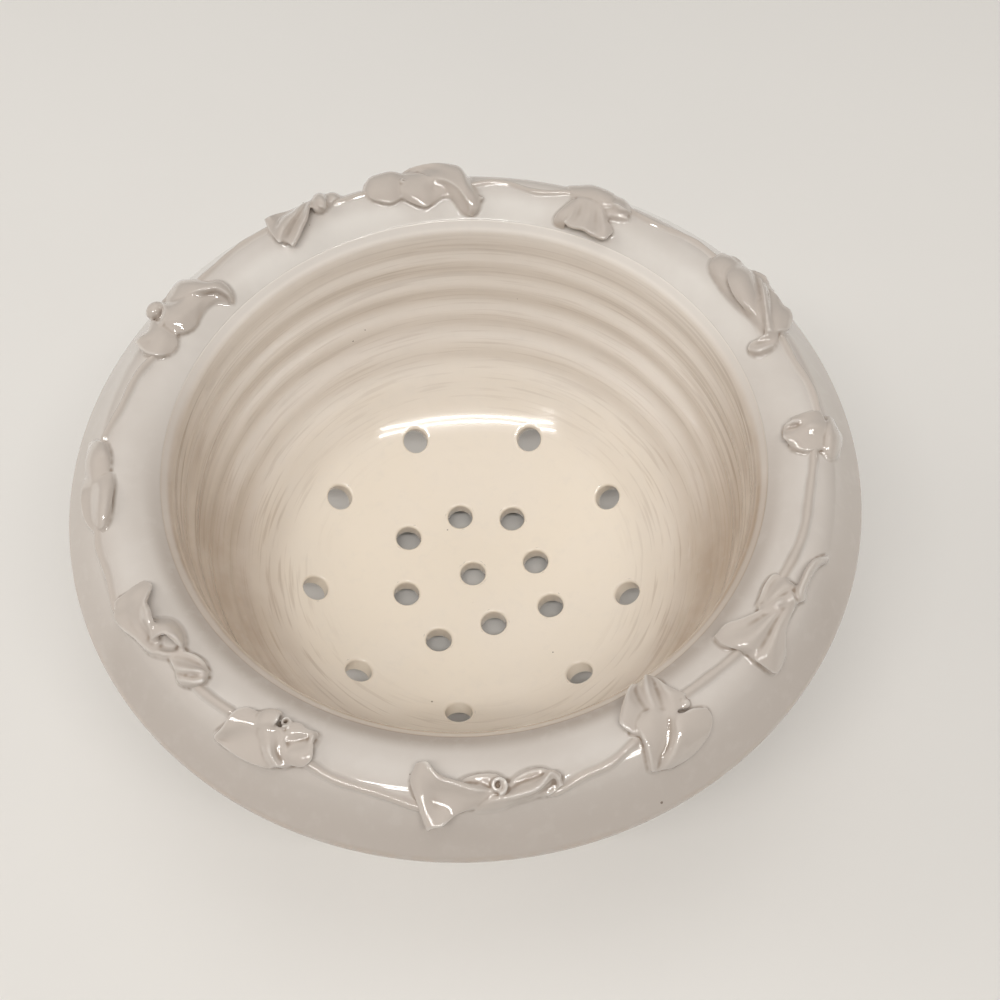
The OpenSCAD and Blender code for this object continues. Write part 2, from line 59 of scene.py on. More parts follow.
# collects patches of points and faces, in millimetres, for one mesh
class Clay:

    def __init__(self):
        self.points, self.faces, self.count = [], [], 0

    def add(self, points, faces):
        points = np.asarray(points, float).reshape(-1, 3)
        self.points.append(points)
        self.faces += (np.asarray(faces) + self.count).tolist()
        self.count += len(points)

    def grid(self, points, flip=False):
        faces = gridFaces(points.shape[0], points.shape[1], 0, True)
        self.add(points, faces[:, ::-1] if flip else faces)

    def mesh(self, name, weld=0.0):
        mesh = bpy.data.meshes.new(name)
        mesh.from_pydata(np.concatenate(self.points).tolist(), [], self.faces)
        mesh.update()
        if weld:
            weldMesh(mesh, weld)
        return mesh


def weldMesh(mesh, distance):
    b = bmesh.new()
    b.from_mesh(mesh)
    bmesh.ops.remove_doubles(b, verts=b.verts, dist=distance)
    bmesh.ops.dissolve_degenerate(b, dist=distance * 0.1, edges=b.edges)
    bmesh.ops.recalc_face_normals(b, faces=b.faces)
    b.to_mesh(mesh)
    b.free()


def meshPoints(mesh):
    points = np.empty(len(mesh.vertices) * 3)
    mesh.vertices.foreach_get("co", points)
    return points.reshape(-1, 3)


# moves a mesh's points, and gives back its new normals
def movedNormals(mesh, points):
    mesh.vertices.foreach_set("co", points.ravel())
    mesh.update()
    normal = np.empty(len(points) * 3)
    mesh.vertices.foreach_get("normal", normal)
    return normal.reshape(-1, 3)


# puts a mesh made in millimetres into the scene in metres, as the piece that stands for some CAD nodes
def finishPiece(mesh, material, nodes, values=None):
    mesh.vertices.foreach_set("co", (meshPoints(mesh) * mm).ravel())
    for key, numbers in (values or {}).items():
        layer = mesh.attributes.new(key, "FLOAT", "POINT")
        layer.data.foreach_set("value", np.asarray(numbers, np.float32))
    mesh.polygons.foreach_set("use_smooth", np.ones(len(mesh.polygons), bool))
    mesh.update()
    mesh.materials.append(material)
    piece = bpy.data.objects.new(mesh.name, mesh)
    scene.collection.objects.link(piece)
    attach(piece, "root")
    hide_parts(*nodes)


def smoothStep(x, low, high):
    k = np.clip((x - low) / (high - low), 0, 1)
    return k * k * (3 - 2 * k)


# point at a radius from the bowl's axis, an angle round it and a height. The next two are its reverse
def spun(radius, angle, height):
    return np.stack([radius * np.cos(angle), radius * np.sin(angle), height], -1)


def radiusOf(points):
    return np.hypot(points[..., 0], points[..., 1])


def angleOf(points):
    return np.arctan2(points[..., 1], points[..., 0])


# angles of evenly spaced points round a full turn
def fullTurn(count):
    return 2 * pi * np.arange(count) / count


# sections of the bowl and the rim, in millimetres

rimShape = dict(height=84, crown=85, innerCurve=17, outerCurve=9.6, slope=pi / 4, thick=6,
                edge=98, edgeCurve=2, crease=75.2, creaseStep=0.25, seam=78,
                sway=0.16, swayBand=(76, 90), around=512)
rimShape["creaseTurn"] = math.asin((rimShape["crown"] - rimShape["crease"]) / rimShape["innerCurve"])


# radius, height and normal of the rim's top at a distance s out from its crown: an arc inwards, a tighter
# arc outwards as far as the slope, then straight
def rimSection(s):
    q = rimShape
    s = np.asarray(s, float)
    turnIn = np.clip(s / q["innerCurve"], -q["creaseTurn"], 0)
    turnOut = np.clip(s / q["outerCurve"], 0, q["slope"])
    turn = np.where(s < 0, turnIn, turnOut)
    curve = np.where(s < 0, q["innerCurve"], q["outerCurve"])
    past = s - turn * curve
    radius = q["crown"] + curve * np.sin(turn) + past * np.cos(turn)
    height = q["height"] - curve * (1 - np.cos(turn)) - past * np.sin(turn)
    return radius, height, np.sin(turn), np.cos(turn)


# point over the rim at an angle round it, a distance across it and a lift square to it
def onRim(angle, s, lift):
    radius, height, outward, upward = rimSection(s)
    return spun(radius + lift * outward, angle, height + lift * upward)


# the reverse of onRim: angle, distance across and lift of points near the rim
def offRim(points):
    q = rimShape
    radius = radiusOf(points) - q["crown"]
    down = points[:, 2] - q["height"]
    turnIn = np.arctan2(radius, down + q["innerCurve"])
    turnOut = np.arctan2(radius, down + q["outerCurve"])
    straight = turnOut > q["slope"]
    c, w = math.cos(q["slope"]), math.sin(q["slope"])
    alongX = radius - q["outerCurve"] * w
    alongZ = down + q["outerCurve"] * (1 - c)
    s = np.where(radius < 0, turnIn * q["innerCurve"], turnOut * q["outerCurve"])
    s = np.where(straight, q["slope"] * q["outerCurve"] + alongX * c - alongZ * w, s)
    lift = np.where(radius < 0, np.hypot(radius, down + q["innerCurve"]) - q["innerCurve"],
                    np.hypot(radius, down + q["outerCurve"]) - q["outerCurve"])
    lift = np.where(straight, alongX * w + alongZ * c, lift)
    return angleOf(points), s, lift


# settles rim, vine and leaves alike by the slight unevenness of a thrown rim: three waves round it, which are
# gone at the lip
def sway(points):
    angle = angleOf(points)
    reach = smoothStep(radiusOf(points), *rimShape["swayBand"])
    wave = np.sin(2 * angle + 0.6) + 0.6 * np.sin(3 * angle + 2.1) + 0.35 * np.sin(5 * angle + 4.0)
    out = np.array(points, float)
    out[..., 2] += rimShape["sway"] * reach * (wave - 0.2)
    return out


bowlShape = dict(lip=73, wall=5, flat=12, dish=82, dishTurn=math.radians(25), wallTurn=math.radians(86),
                 floor=9, lipCurve=3, lipWidth=2.2, bevel=math.radians(50), join=54, around=384,
                 samples=6000, floorNet=1.15, underNet=1.7, wallNet=0.75, outsideRows=44, weld=0.004)


# inside line of the bowl from the axis to the lip: flat disc, dish, tighter turn and straight wall, each
# with its slope, at even steps of the length run from the axis
def bowlCurves():
    q, r = bowlShape, rimShape
    creaseHeight = r["height"] - r["innerCurve"] * (1 - math.cos(r["creaseTurn"]))
    bevelWide = q["lipWidth"] - q["lipCurve"] * (math.sin(q["wallTurn"]) - math.sin(q["bevel"]))
    bevelTop = creaseHeight - bevelWide * math.tan(q["bevel"])
    lipHeight = bevelTop - q["lipCurve"] * (math.cos(q["bevel"]) - math.cos(q["wallTurn"]))
    a, w = q["dishTurn"], q["wallTurn"]
    dishX = q["flat"] + q["dish"] * math.sin(a)
    dishZ = q["floor"] + q["dish"] * (1 - math.cos(a))
    turnIn = (q["lip"] - dishX) - (lipHeight - dishZ) / math.tan(w)
    turn = turnIn / ((math.sin(w) - math.sin(a)) - (math.cos(a) - math.cos(w)) / math.tan(w))
    turnZ = dishZ + turn * (math.cos(a) - math.cos(w))
    wallLong = (lipHeight - turnZ) / math.sin(w)
    ends = np.cumsum([0, q["flat"], q["dish"] * a, turn * (w - a), wallLong])
    run = np.linspace(0, ends[4], q["samples"])
    slope = np.interp(run, [ends[1], ends[2], ends[3]], [0, a, w])
    x = np.where(run < ends[1], run, q["flat"] + q["dish"] * np.sin(np.minimum(slope, a)))
    z = np.where(run < ends[1], q["floor"], q["floor"] + q["dish"] * (1 - np.cos(np.minimum(slope, a))))
    past = run > ends[2]
    x = np.where(past, dishX + turn * (np.sin(slope) - math.sin(a)), x)
    z = np.where(past, dishZ + turn * (math.cos(a) - np.cos(slope)), z)
    up = np.maximum(run - ends[3], 0)
    x, z = x + up * math.cos(w), z + up * math.sin(w)
    return dict(run=run, x=x, z=z, slope=slope, ends=ends, lipHeight=lipHeight, creaseHeight=creaseHeight)


curves = bowlCurves()

# throwing marks and trimming lines: the pitch and depth of each kind, and where along the run they fade
marks = dict(groovePitch=10.5, grooveDeep=0.75, grooveFade=(2, 12), grooveStart=(6, 26),
             finePitch=2.3, fineDeep=0.035, fineFade=(-22, -4),
             floorPitch=5.5, floorDeep=0.02, floorStart=(5, 14), floorFade=(44, 56),
             trimPitch=3.1, trimDeep=0.05, trimStart=(50, 60))


# depth of the throwing marks: a spiral of rounded grooves up the wall, faint on the floor, fading at the lip
def fingerRings(run, angle):
    q = marks
    down = curves["ends"][4] - run
    turns = down / q["groovePitch"] + (angle - pi / 2) / (2 * pi)
    groove = (1 - np.cos(2 * pi * turns)) / 2
    uneven = 1 + 0.22 * np.sin(3 * angle + run * 0.07) + 0.12 * np.sin(7 * angle - run * 0.11)
    fade = smoothStep(down, *q["grooveFade"]) * smoothStep(run - curves["ends"][2], *q["grooveStart"])
    spiral = np.sin(2 * pi * (down / q["finePitch"] + angle / (2 * pi)))
    fine = q["fineDeep"] * spiral * smoothStep(-down, *q["fineFade"])
    onFloor = smoothStep(run, *q["floorStart"]) * (1 - smoothStep(run, *q["floorFade"]))
    floorMark = q["floorDeep"] * np.sin(2 * pi * (run / q["floorPitch"] - angle / (2 * pi))) * onFloor
    return q["grooveDeep"] * fade * groove * uneven + fine + floorMark


# point at a run from the axis and an angle, sunk square to the inside line
def sunk(run, angle, sink):
    x, z, slope = (np.interp(run, curves["run"], curves[key]) for key in ("x", "z", "slope"))
    return spun(x + sink * np.sin(slope), angle, z - sink * np.cos(slope))


def inBowl(run, angle):
    return sunk(run, angle, fingerRings(run, angle))


# point on the outside, one wall's thickness below the same run of the inside, with faint trimming lines
def underBowl(run, angle):
    spiral = 1 - np.cos(2 * pi * (run / marks["trimPitch"] + angle / (2 * pi)))
    trimming = marks["trimDeep"] * spiral * smoothStep(run, *marks["trimStart"])
    return sunk(run, angle, bowlShape["wall"] - trimming)


# drain holes: the outer ring by angle, the inner ones by angle and share of the middle ring's radius
holeShape = dict(radius=3.75, soft=0.8, around=40, netRings=(5.25, 6.1), clear=6.9, within=0.985, steps=14,
                 outer=46.5, outerAngles=[-171, -134, -95, -50, -14, 27, 67, 112, 150],
                 middle=22, innerShares=[(0, 0), (-162, 0.95), (-115, 1.09), (-70, 0.8), (-27, 1.17),
                                         (10, 0.88), (56, 1), (101, 0.9), (148, 1.05)])


# centre on the inside, direction square to the clay and two directions across it, for each hole
def holeAxes():
    q = holeShape
    places = [(a, q["outer"]) for a in q["outerAngles"]]
    places += [(a, share * q["middle"]) for a, share in q["innerShares"]]
    axes = []
    for degrees, x in places:
        run = np.interp(x, curves["x"], curves["run"])
        z, slope = (np.interp(run, curves["run"], curves[key]) for key in ("z", "slope"))
        c, s = math.cos(math.radians(degrees)), math.sin(math.radians(degrees))
        flat, upright, side = np.array([c, s, 0.0]), np.array([0, 0, 1.0]), np.array([-s, c, 0.0])
        axes.append(dict(centre=x * flat + z * upright, side=side, slope=slope,
                         up=math.cos(slope) * upright - math.sin(slope) * flat,
                         out=math.cos(slope) * flat + math.sin(slope) * upright))
    return axes


# where lines parallel to a hole's axis, at distance wide and turn round it, meet the inside or the outside.
# Each step moves along the axis by the height still missing
def pierce(axis, wide, turn, below):
    drop = bowlShape["wall"] if below else 0.0
    ring = np.cos(turn)[..., None] * axis["out"] + np.sin(turn)[..., None] * axis["side"]
    p = axis["centre"] - drop * axis["up"] + wide[..., None] * ring
    radiusTable = curves["x"] + drop * np.sin(curves["slope"])
    heightTable = curves["z"] - drop * np.cos(curves["slope"])
    for _ in range(holeShape["steps"]):
        miss = p[..., 2] - np.interp(radiusOf(p), radiusTable, heightTable)
        p = p - (miss * math.cos(axis["slope"]))[..., None] * axis["up"]
    return np.interp(radiusOf(p), radiusTable, curves["run"]), angleOf(p)


# disc of the floor out to a run, as triangles that leave out the holes: rings of points about step apart,
# less those near a hole, with three rings of points round each hole, joined by a Delaunay net
def floorSheet(axes, end, step, surface, below):
    q = holeShape
    flat = [np.zeros((1, 2))]
    for run in np.arange(step, end - step * 0.5, step):
        n = max(6, int(2 * pi * run / step))
        turn = 2 * pi * (np.arange(n) + 0.5 * (int(run / step) % 2)) / n
        flat.append(np.stack([run * np.cos(turn), run * np.sin(turn)], -1))
    flat = np.concatenate(flat)
    turn = fullTurn(q["around"])
    rims, extra, keep = [], [], np.ones(len(flat), bool)
    for axis in axes:
        for k, wide in enumerate((q["radius"] + q["soft"], *q["netRings"])):
            run, angle = pierce(axis, np.full(len(turn), wide), turn + k * pi / q["around"], below)
            (rims if k == 0 else extra).append(np.stack([run * np.cos(angle), run * np.sin(angle)], -1))
        keep &= radiusOf(flat - rims[-1].mean(0)) > q["clear"]
    last = fullTurn(bowlShape["around"])
    border = end * np.stack([np.cos(last), np.sin(last)], -1)
    points = np.concatenate(rims + [border] + extra + [flat[keep]])
    edges = []
    for first in range(0, len(rims) * q["around"], q["around"]):
        edges += [(first + i, first + (i + 1) % q["around"]) for i in range(q["around"])]
    verts, _, faces, _, _, _ = delaunay_2d_cdt([tuple(p) for p in points], edges, [], 0, 1e-6, False)
    flat = np.array([tuple(v) for v in verts])
    faces = np.array([f for f in faces if len(f) == 3])
    middle = flat[faces].mean(1)
    inside = np.zeros(len(faces), bool)
    for ring in rims:
        centre = ring.mean(0)
        order = np.argsort(angleOf(ring - centre))
        way, reach = angleOf(ring - centre)[order], radiusOf(ring - centre)[order]
        limit = np.interp(angleOf(middle - centre), way, reach, period=2 * pi)
        inside |= radiusOf(middle - centre) < limit * q["within"]
    return surface(radiusOf(flat), angleOf(flat)), faces[~inside]


# wall of one hole: a rounded edge from the inside face, a straight wall, and a rounded edge to the outside
def holeWall(axis):
    q = holeShape
    turn = fullTurn(q["around"])
    rows = []
    for below, sign in ((False, -1), (True, 1)):
        part = []
        for bend in np.linspace(0, pi / 2, 7):
            wide = np.full(len(turn), q["radius"] + q["soft"] * (1 - math.sin(bend)))
            run, angle = pierce(axis, wide, turn, below)
            face = underBowl(run, angle) if below else inBowl(run, angle)
            part.append(face + sign * q["soft"] * (1 - math.cos(bend)) * axis["up"])
        rows += part[::-1] if below else part
    return np.array(rows)


# vine, leaves and buds on the rim, in millimetres. Places across the rim are shares of band, out from the
# crown

leafShape = dict(thick=1.2, step=0.36, band=10)

# where each cluster lies; far and rise hold where its outline ends on the far side of the rim
clusters = {
    1: dict(az=-86), 2: dict(az=-118), 3: dict(az=-142), 4: dict(az=-175), 5: dict(az=152, far=9),
    6: dict(az=118, far=8), 7: dict(az=101, far=7, rise=3.2), 8: dict(az=64, far=8), 9: dict(az=20, far=8.5),
    10: dict(az=-2), 11: dict(az=-32), 12: dict(az=-57)}

# knots of each leaf's sheets of clay, noted on the photograph: pixel across, pixel down, and mm above
# the rim
leafNotes = [
    dict(leaf="1a", seen=[[(497, 788, 1), (497, 791, 1.6), (497, 794, 1.4), (498, 798, 0.3)],
        [(478, 790, 2.8), (476, 796, 1.8), (477, 801, 1.4), (480, 807, 0.5)],
        [(457, 784, 3.3), (455, 793, 1.8), (455, 803, 1.4), (458, 815, 1.5)],
        [(438, 777, 3.7), (436, 790, 1.6), (436, 805, 1.3), (443, 826, 3.9)],
        [(426, 761, 4.3), (419, 782, 2.6), (422, 802, 2.4), (430, 830, 4)],
        [(415, 762, 2.4), (409, 780, 1.4), (415, 801, 1.1), (426, 833, 2.6)]]),
    dict(leaf="1b", seen=[[(457, 784, 0.9), (460, 787, 0.4), (463, 790, 0.1)],
        [(467, 777, 1.5), (470, 782, 1.2), (474, 789, 0.4)],
        [(481, 773, 1.7), (483, 779, 1.5), (486, 789, 0.5)],
        [(497, 773, 1.4), (497, 780, 1.3), (495, 789, 0.5)],
        [(505, 779, 0.5), (504, 784, 0.5), (500, 789, 0.2)]]),
    dict(leaf="1c", seen=[
        [(500, 791, 0.4), (494, 795, 1.2), (489, 800, 1.9), (482, 806, 1.2), (474, 813, 0.1)],
        [(507, 786, 0.9), (508, 791, 1.1), (508, 797, 2.9), (503, 804, 1.4), (498, 811, 0.1)],
        [(517, 777, 1.3), (520, 784, 0.8), (523, 793, 3.4), (518, 800, 1.6), (513, 805, 0.2)],
        [(530, 771, 1.6), (533, 779, 0.8), (537, 788, 3.6), (533, 795, 1.7), (529, 800, 0.2)],
        [(543, 769, 1.9), (544, 774, 1.5), (546, 779, 3.6), (548, 786, 1.1), (543, 795, 1.3)],
        [(553, 768, 1.8), (552, 770, 2.6), (552, 773, 3.3), (555, 781, 0.9), (552, 794, 1.7)],
        [(562, 772, 0.5), (562, 775, 1.8), (561, 780, 2.4), (560, 786, 2.2), (558, 791, 1)]]),
    dict(leaf="2a", seen=[[(213, 737, 1.2), (213, 739, 0.9), (214, 740, 0.8), (215, 742, 0.9)],
        [(223, 726, 2.2), (222, 733, 1.6), (222, 740, 0.8), (223, 747, 1.6)],
        [(232, 712, 2.6), (234, 725, 2), (235, 739, 0.8), (236, 757, 2)],
        [(246, 706, 2.4), (247, 722, 2.1), (248, 738, 0.9), (250, 764, 2.1)],
        [(259, 711, 1.6), (259, 725, 1.7), (261, 738, 1), (268, 769, 1.8)],
        [(268, 722, 0.8), (268, 732, 1), (273, 741, 0.9), (284, 765, 0.8)]]),
    dict(leaf="2a", seen=[[(258, 723, 1.8), (260, 740, 1.1), (263, 752, 1.9), (268, 767, 1.5)],
        [(267, 725, 2.6), (268, 740, 2.2), (270, 753, 2.8), (276, 768, 2.2)],
        [(276, 725, 2.2), (276, 742, 1.5), (278, 756, 1.1), (283, 767, 1.6)],
        [(284, 729, 1.8), (284, 744, 1.6), (286, 757, 1.5), (289, 767, 1)]]),
    dict(leaf="2b", seen=[[(258, 713, 0.5), (255, 717, 1.4), (254, 724, 1.6), (258, 731, 0.5)],
        [(266, 710, 0.6), (265, 710, 2.6), (263, 722, 3.1), (264, 734, 0.8)],
        [(275, 711, 0.6), (275, 709, 3.3), (273, 721, 3.8), (270, 733, 1.2)],
        [(283, 715, 0.6), (282, 712, 3.1), (277, 721, 4), (272, 731, 1.6)]]),
    dict(leaf="2c", seen=[
        [(283, 727, 0.6), (282, 736, 1.2), (284, 745, 0.7), (283, 755, 1.2), (284, 765, 0.4)],
        [(290, 721, 1.9), (290, 732, 2.2), (290, 744, 1), (291, 755, 2.2), (292, 767, 1.4)],
        [(300, 722, 2.3), (299, 732, 2.4), (300, 741, 1.1), (302, 754, 2.6), (303, 768, 1.9)],
        [(308, 728, 2.3), (307, 734, 2.1), (309, 739, 1.3), (311, 748, 2.3), (313, 758, 2)],
        [(319, 731, 1.4), (319, 732, 1.4), (319, 734, 1.2), (317, 737, 1.4), (315, 740, 1.4)]]),
    dict(leaf="3a", seen=[[(112, 603, 0.6), (124, 593, 1.4), (134, 585, 1.6), (145, 579, 1.6)],
        [(114, 610, 1.4), (125, 602, 1.6), (137, 592, 2.9), (152, 584, 2.6)],
        [(113, 619, 1.2), (126, 611, 1), (136, 603, 2.9), (144, 601, 4.2)],
        [(121, 629, 1.9), (131, 621, 0.9), (139, 613, 2.5), (146, 612, 4.3)],
        [(134, 638, 1.7), (137, 631, 1), (142, 624, 1.4), (148, 622, 3.9)],
        [(146, 649, 1.7), (148, 641, 0.8), (150, 635, 0.9), (152, 632, 2.4)],
        [(157, 655, 1), (158, 650, 0.8), (158, 645, 0.6), (158, 641, 1)]]),
    dict(leaf="3b", seen=[
        [(147, 627, 0.3), (152, 620, 0.4), (163, 618, 0.3), (174, 620, 0.3), (183, 630, 0.3),
         (186, 642, 0.3), (184, 653, 0.3)],
        [(149, 634, 1.4), (155, 627, 2.5), (165, 625, 3), (174, 629, 3), (180, 637, 2.6),
         (183, 645, 1.9), (183, 651, 0.8)],
        [(151, 641, 1.2), (158, 635, 3), (165, 633, 3.9), (172, 635, 3.9), (178, 640, 3.3),
         (181, 646, 2.3), (182, 651, 0.9)]]),
    dict(leaf="3b", seen=[[(154, 646, 0.1), (165, 649, 0.1), (178, 650, 0.1)],
        [(155, 651, 1.2), (166, 654, 1.4), (180, 653, 1.2)],
        [(157, 657, 0.3), (168, 659, 0.3), (181, 657, 0.3)]]),
    dict(leaf="3c", seen=[
        [(170, 654, 0.6), (170, 660, 1.2), (172, 667, 1.8), (174, 672, 1.4), (175, 677, 1.2),
         (176, 681, 0.6)],
        [(182, 651, 1.4), (182, 660, 1.1), (181, 669, 3), (182, 675, 1.6), (182, 680, 2.5),
         (182, 686, 0.8)],
        [(194, 655, 1.9), (194, 663, 1.1), (194, 670, 3.2), (194, 676, 1.6), (194, 682, 2.7),
         (194, 688, 0.8)],
        [(204, 662, 1.6), (203, 667, 1.2), (203, 671, 2.7), (203, 676, 2), (203, 681, 2.5),
         (202, 686, 0.7)],
        [(210, 671, 0.8), (210, 673, 1), (209, 676, 1.2), (208, 679, 1.2), (206, 682, 0.8),
         (204, 684, 0.4)]]),
    dict(leaf="4a", seen=[[(88, 442, 0.8), (95, 440, 1), (103, 441, 0.9), (108, 446, 0.4)],
        [(86, 454, 1.8), (94, 452, 2.4), (103, 452, 2.2), (110, 456, 0.9)],
        [(84, 466, 1.8), (92, 465, 2.2), (101, 465, 1.8), (109, 468, 0.8)],
        [(86, 480, 0.8), (92, 481, 1.2), (99, 480, 1), (105, 479, 0.5)]]),
    dict(leaf="4b", seen=[[(84, 478, 0.6), (93, 475, 1.2), (104, 474, 0.8), (112, 472, 0.5)],
        [(80, 492, 1.6), (92, 490, 0.9), (104, 488, 2.4), (114, 486, 1.2)],
        [(80, 508, 2.2), (91, 506, 1), (103, 503, 2.8), (113, 500, 1.4)],
        [(84, 522, 1.8), (92, 520, 1), (102, 517, 2.2), (111, 513, 1)],
        [(92, 532, 0.8), (97, 531, 0.8), (103, 528, 1), (108, 523, 0.5)]]),
    dict(leaf="5a", seen=[[(158, 298, 0.6), (160, 300, 1), (163, 303, 1.2)],
        [(166, 290, 1.2), (169, 294, 2), (172, 299, 1.6)],
        [(178, 280, 1.7), (181, 287, 2.6), (182, 296, 2.2)],
        [(190, 278, 1.2), (192, 284, 3), (194, 291, 3.5)], [(204, 280, 1), (205, 283, 3), (205, 288, 4)],
        [(217, 279, 0.8), (217, 282, 3), (215, 287, 4)],
        [(228, 285, 0.6), (226, 287, 2.6), (223, 290, 3.6)],
        [(234, 295, 0.4), (231, 294, 2.2), (228, 295, 2.8)],
        [(235, 305, 0.2), (232, 303, 1), (230, 301, 1.2)]]),
    dict(leaf="5a", seen=[[(164, 302, 0.4), (161, 308, 1.6), (160, 315, 1.8), (158, 322, 1)],
        [(175, 300, 1.4), (171, 308, 2.5), (169, 318, 2.8), (168, 329, 1.2)],
        [(187, 296, 2.3), (184, 305, 2.6), (181, 317, 3), (181, 333, 1.2)],
        [(198, 291, 3), (196, 299, 2.2), (193, 310, 2.4), (195, 327, 1)],
        [(210, 288, 3.3), (208, 294, 1.8), (205, 300, 1.6), (202, 314, 0.6)],
        [(222, 290, 3), (221, 295, 1.4), (219, 298, 1.2), (213, 303, 0.5)],
        [(232, 300, 0.3), (230, 301, 0.4), (229, 302, 0.5), (226, 304, 0.2)]]),
    dict(leaf="5b", seen=[[(159, 302, 1.4), (163, 302, 2.4), (166, 304, 1.8)],
        [(162, 309, 1.4), (166, 308, 2.8), (169, 310, 2)],
        [(161, 316, 1.3), (165, 316, 2.7), (168, 318, 2)],
        [(157, 322, 0.9), (159, 324, 1.9), (162, 326, 1.2)]]),
    dict(leaf="5c", seen=[[(150, 318, 0.6), (157, 320, 1.2), (164, 325, 1.2), (172, 331, 0.6)],
        [(147, 330, 1.2), (155, 332, 1.9), (165, 335, 2), (177, 337, 0.9)],
        [(139, 336, 2.8), (149, 341, 1.6), (161, 344, 2), (178, 345, 0.9)],
        [(134, 341, 3), (145, 351, 1.9), (159, 355, 1.7), (173, 353, 0.7)]]),
    dict(leaf="6a", seen=[
        [(312, 200, 2), (310, 200, 2.3), (308, 201, 2), (305, 202, 1.6), (303, 203, 0.7)],
        [(306, 214, 3.9), (300, 213, 1.9), (296, 211, 3.1), (292, 211, 1.5), (288, 210, 1.4)],
        [(301, 225, 4.2), (294, 223, 1.4), (288, 220, 3.2), (281, 217, 1.2), (275, 213, 2.2)],
        [(297, 235, 4), (289, 233, 1.4), (282, 229, 3.1), (275, 224, 1.1), (268, 216, 2.9)],
        [(292, 246, 3.2), (285, 240, 2.2), (278, 242, 2.6), (270, 231, 1.3), (263, 219, 2.4)]]),
    dict(leaf="6b", seen=[[(325, 194, 0.8), (327, 199, 1.7), (328, 207, 0.5)],
        [(332, 192, 1.2), (334, 197, 1.9), (334, 203, 0.5)],
        [(340, 194, 0.6), (340, 197, 0.8), (339, 200, 0.3)]]),
    dict(leaf="6b", seen=[
        [(311, 200, 0.8), (315, 194, 2), (322, 193, 2.2), (328, 198, 1.4), (328, 206, 0.5)],
        [(310, 204, 1.2), (314, 199, 3.2), (320, 197, 3.9), (326, 202, 3), (327, 209, 0.6)],
        [(312, 208, 0.7), (315, 206, 2.4), (320, 207, 3.1), (325, 209, 2.2), (325, 212, 0.4)]]),
    dict(leaf="7a", seen=[[(363, 185, 0.6), (362, 188, 0.9), (363, 192, 0.6)],
        [(370, 177, 1.3), (370, 187, 2.3), (370, 198, 1.2)],
        [(381, 173, 1.5), (381, 187, 2.9), (381, 202, 1.4)],
        [(392, 171, 1.5), (393, 186, 2.7), (392, 203, 1.4)],
        [(404, 174, 1.6), (405, 184, 1.6), (404, 196, 1.2)]]),
    dict(leaf="7b", seen=[[(406, 172, 1.4), (403, 181, 2.2), (400, 188, 2), (400, 197, 1)],
        [(415, 172, 2.3), (413, 183, 2.7), (411, 193, 2.8), (413, 204, 1.5)],
        [(425, 174, 2.9), (424, 184, 2.5), (424, 195, 2.4), (426, 207, 1.7)],
        [(437, 179, 2.8), (434, 188, 1.3), (433, 195, 1.5), (433, 203, 1)],
        [(447, 184, 1.6), (445, 190, 0.9), (443, 195, 0.9), (441, 199, 0.5)]]),
    dict(leaf="7c", seen=[[(403, 171, 0.9), (404, 173, 1.2), (405, 175, 0.8)],
        [(413, 166, 1.4), (414, 169, 2.4), (417, 174, 1.6)],
        [(430, 162, 1), (431, 169, 2.7), (432, 177, 2.8)],
        [(445, 163, 1), (446, 171, 3.2), (446, 180, 3.7)],
        [(459, 166, 1), (459, 176, 3.4), (457, 187, 4)],
        [(469, 179, 0.8), (467, 187, 3.6), (464, 196, 4)],
        [(478, 193, 0.6), (474, 198, 3.2), (469, 205, 3.4)],
        [(480, 206, 0.4), (476, 209, 2.5), (470, 211, 2.6)],
        [(475, 215, 0.4), (472, 217, 1.4), (468, 216, 1.2)]]),
    dict(leaf="7c", seen=[[(428, 176, 2.6), (431, 186, 1.6), (436, 196, 0.9)],
        [(446, 182, 2.8), (447, 189, 1.5), (450, 197, 0.8)],
        [(456, 189, 3.1), (454, 196, 1.8), (455, 202, 0.8)],
        [(464, 197, 3.1), (461, 203, 1.8), (460, 210, 0.8)],
        [(470, 206, 2.5), (466, 210, 1.5), (465, 215, 0.7)],
        [(472, 215, 0.6), (470, 216, 0.7), (468, 217, 0.4)]]),
    dict(leaf="8a", seen=[
        [(577, 197, 1.8), (584, 198, 2.6), (591, 200, 3), (597, 204, 2.9), (602, 208, 2.4),
         (607, 212, 1.2)],
        [(573, 209, 2.7), (580, 211, 1.7), (588, 216, 2.6), (596, 219, 1.7), (603, 220, 2.6),
         (608, 220, 1.1)],
        [(569, 217, 3.4), (576, 219, 2.5), (585, 223, 3.3), (595, 228, 2.4), (604, 229, 3.4),
         (612, 225, 1.4)],
        [(563, 221, 3.6), (571, 226, 3.6), (582, 228, 4), (593, 233, 3.8), (604, 239, 3.6),
         (614, 232, 1.6)]]),
    dict(leaf="8a", seen=[[(573, 198, 0.8), (577, 200, 1.6), (581, 202, 1.8)],
        [(564, 205, 1), (568, 207, 2.5), (576, 211, 2.4)],
        [(556, 213, 1), (560, 214, 2.6), (570, 218, 2.8)],
        [(553, 221, 0.8), (557, 222, 1.9), (566, 223, 2.4)],
        [(556, 227, 0.2), (559, 228, 0.3), (563, 230, 0.1)]]),
    dict(leaf="8b", seen=[[(568, 185, 0.3), (569, 190, 0.8), (572, 197, 0.4)],
        [(580, 185, 0.7), (580, 192, 2), (581, 199, 1.2)],
        [(592, 185, 0.8), (592, 193, 3), (592, 201, 2.2)],
        [(605, 190, 0.8), (604, 197, 3.4), (600, 207, 2.2)],
        [(615, 195, 0.8), (611, 201, 3), (602, 212, 1.4)]]),
    dict(leaf="8c", seen=[[(606, 196, 0.2), (614, 196, 0.2), (623, 199, 0.2), (633, 208, 0.2)],
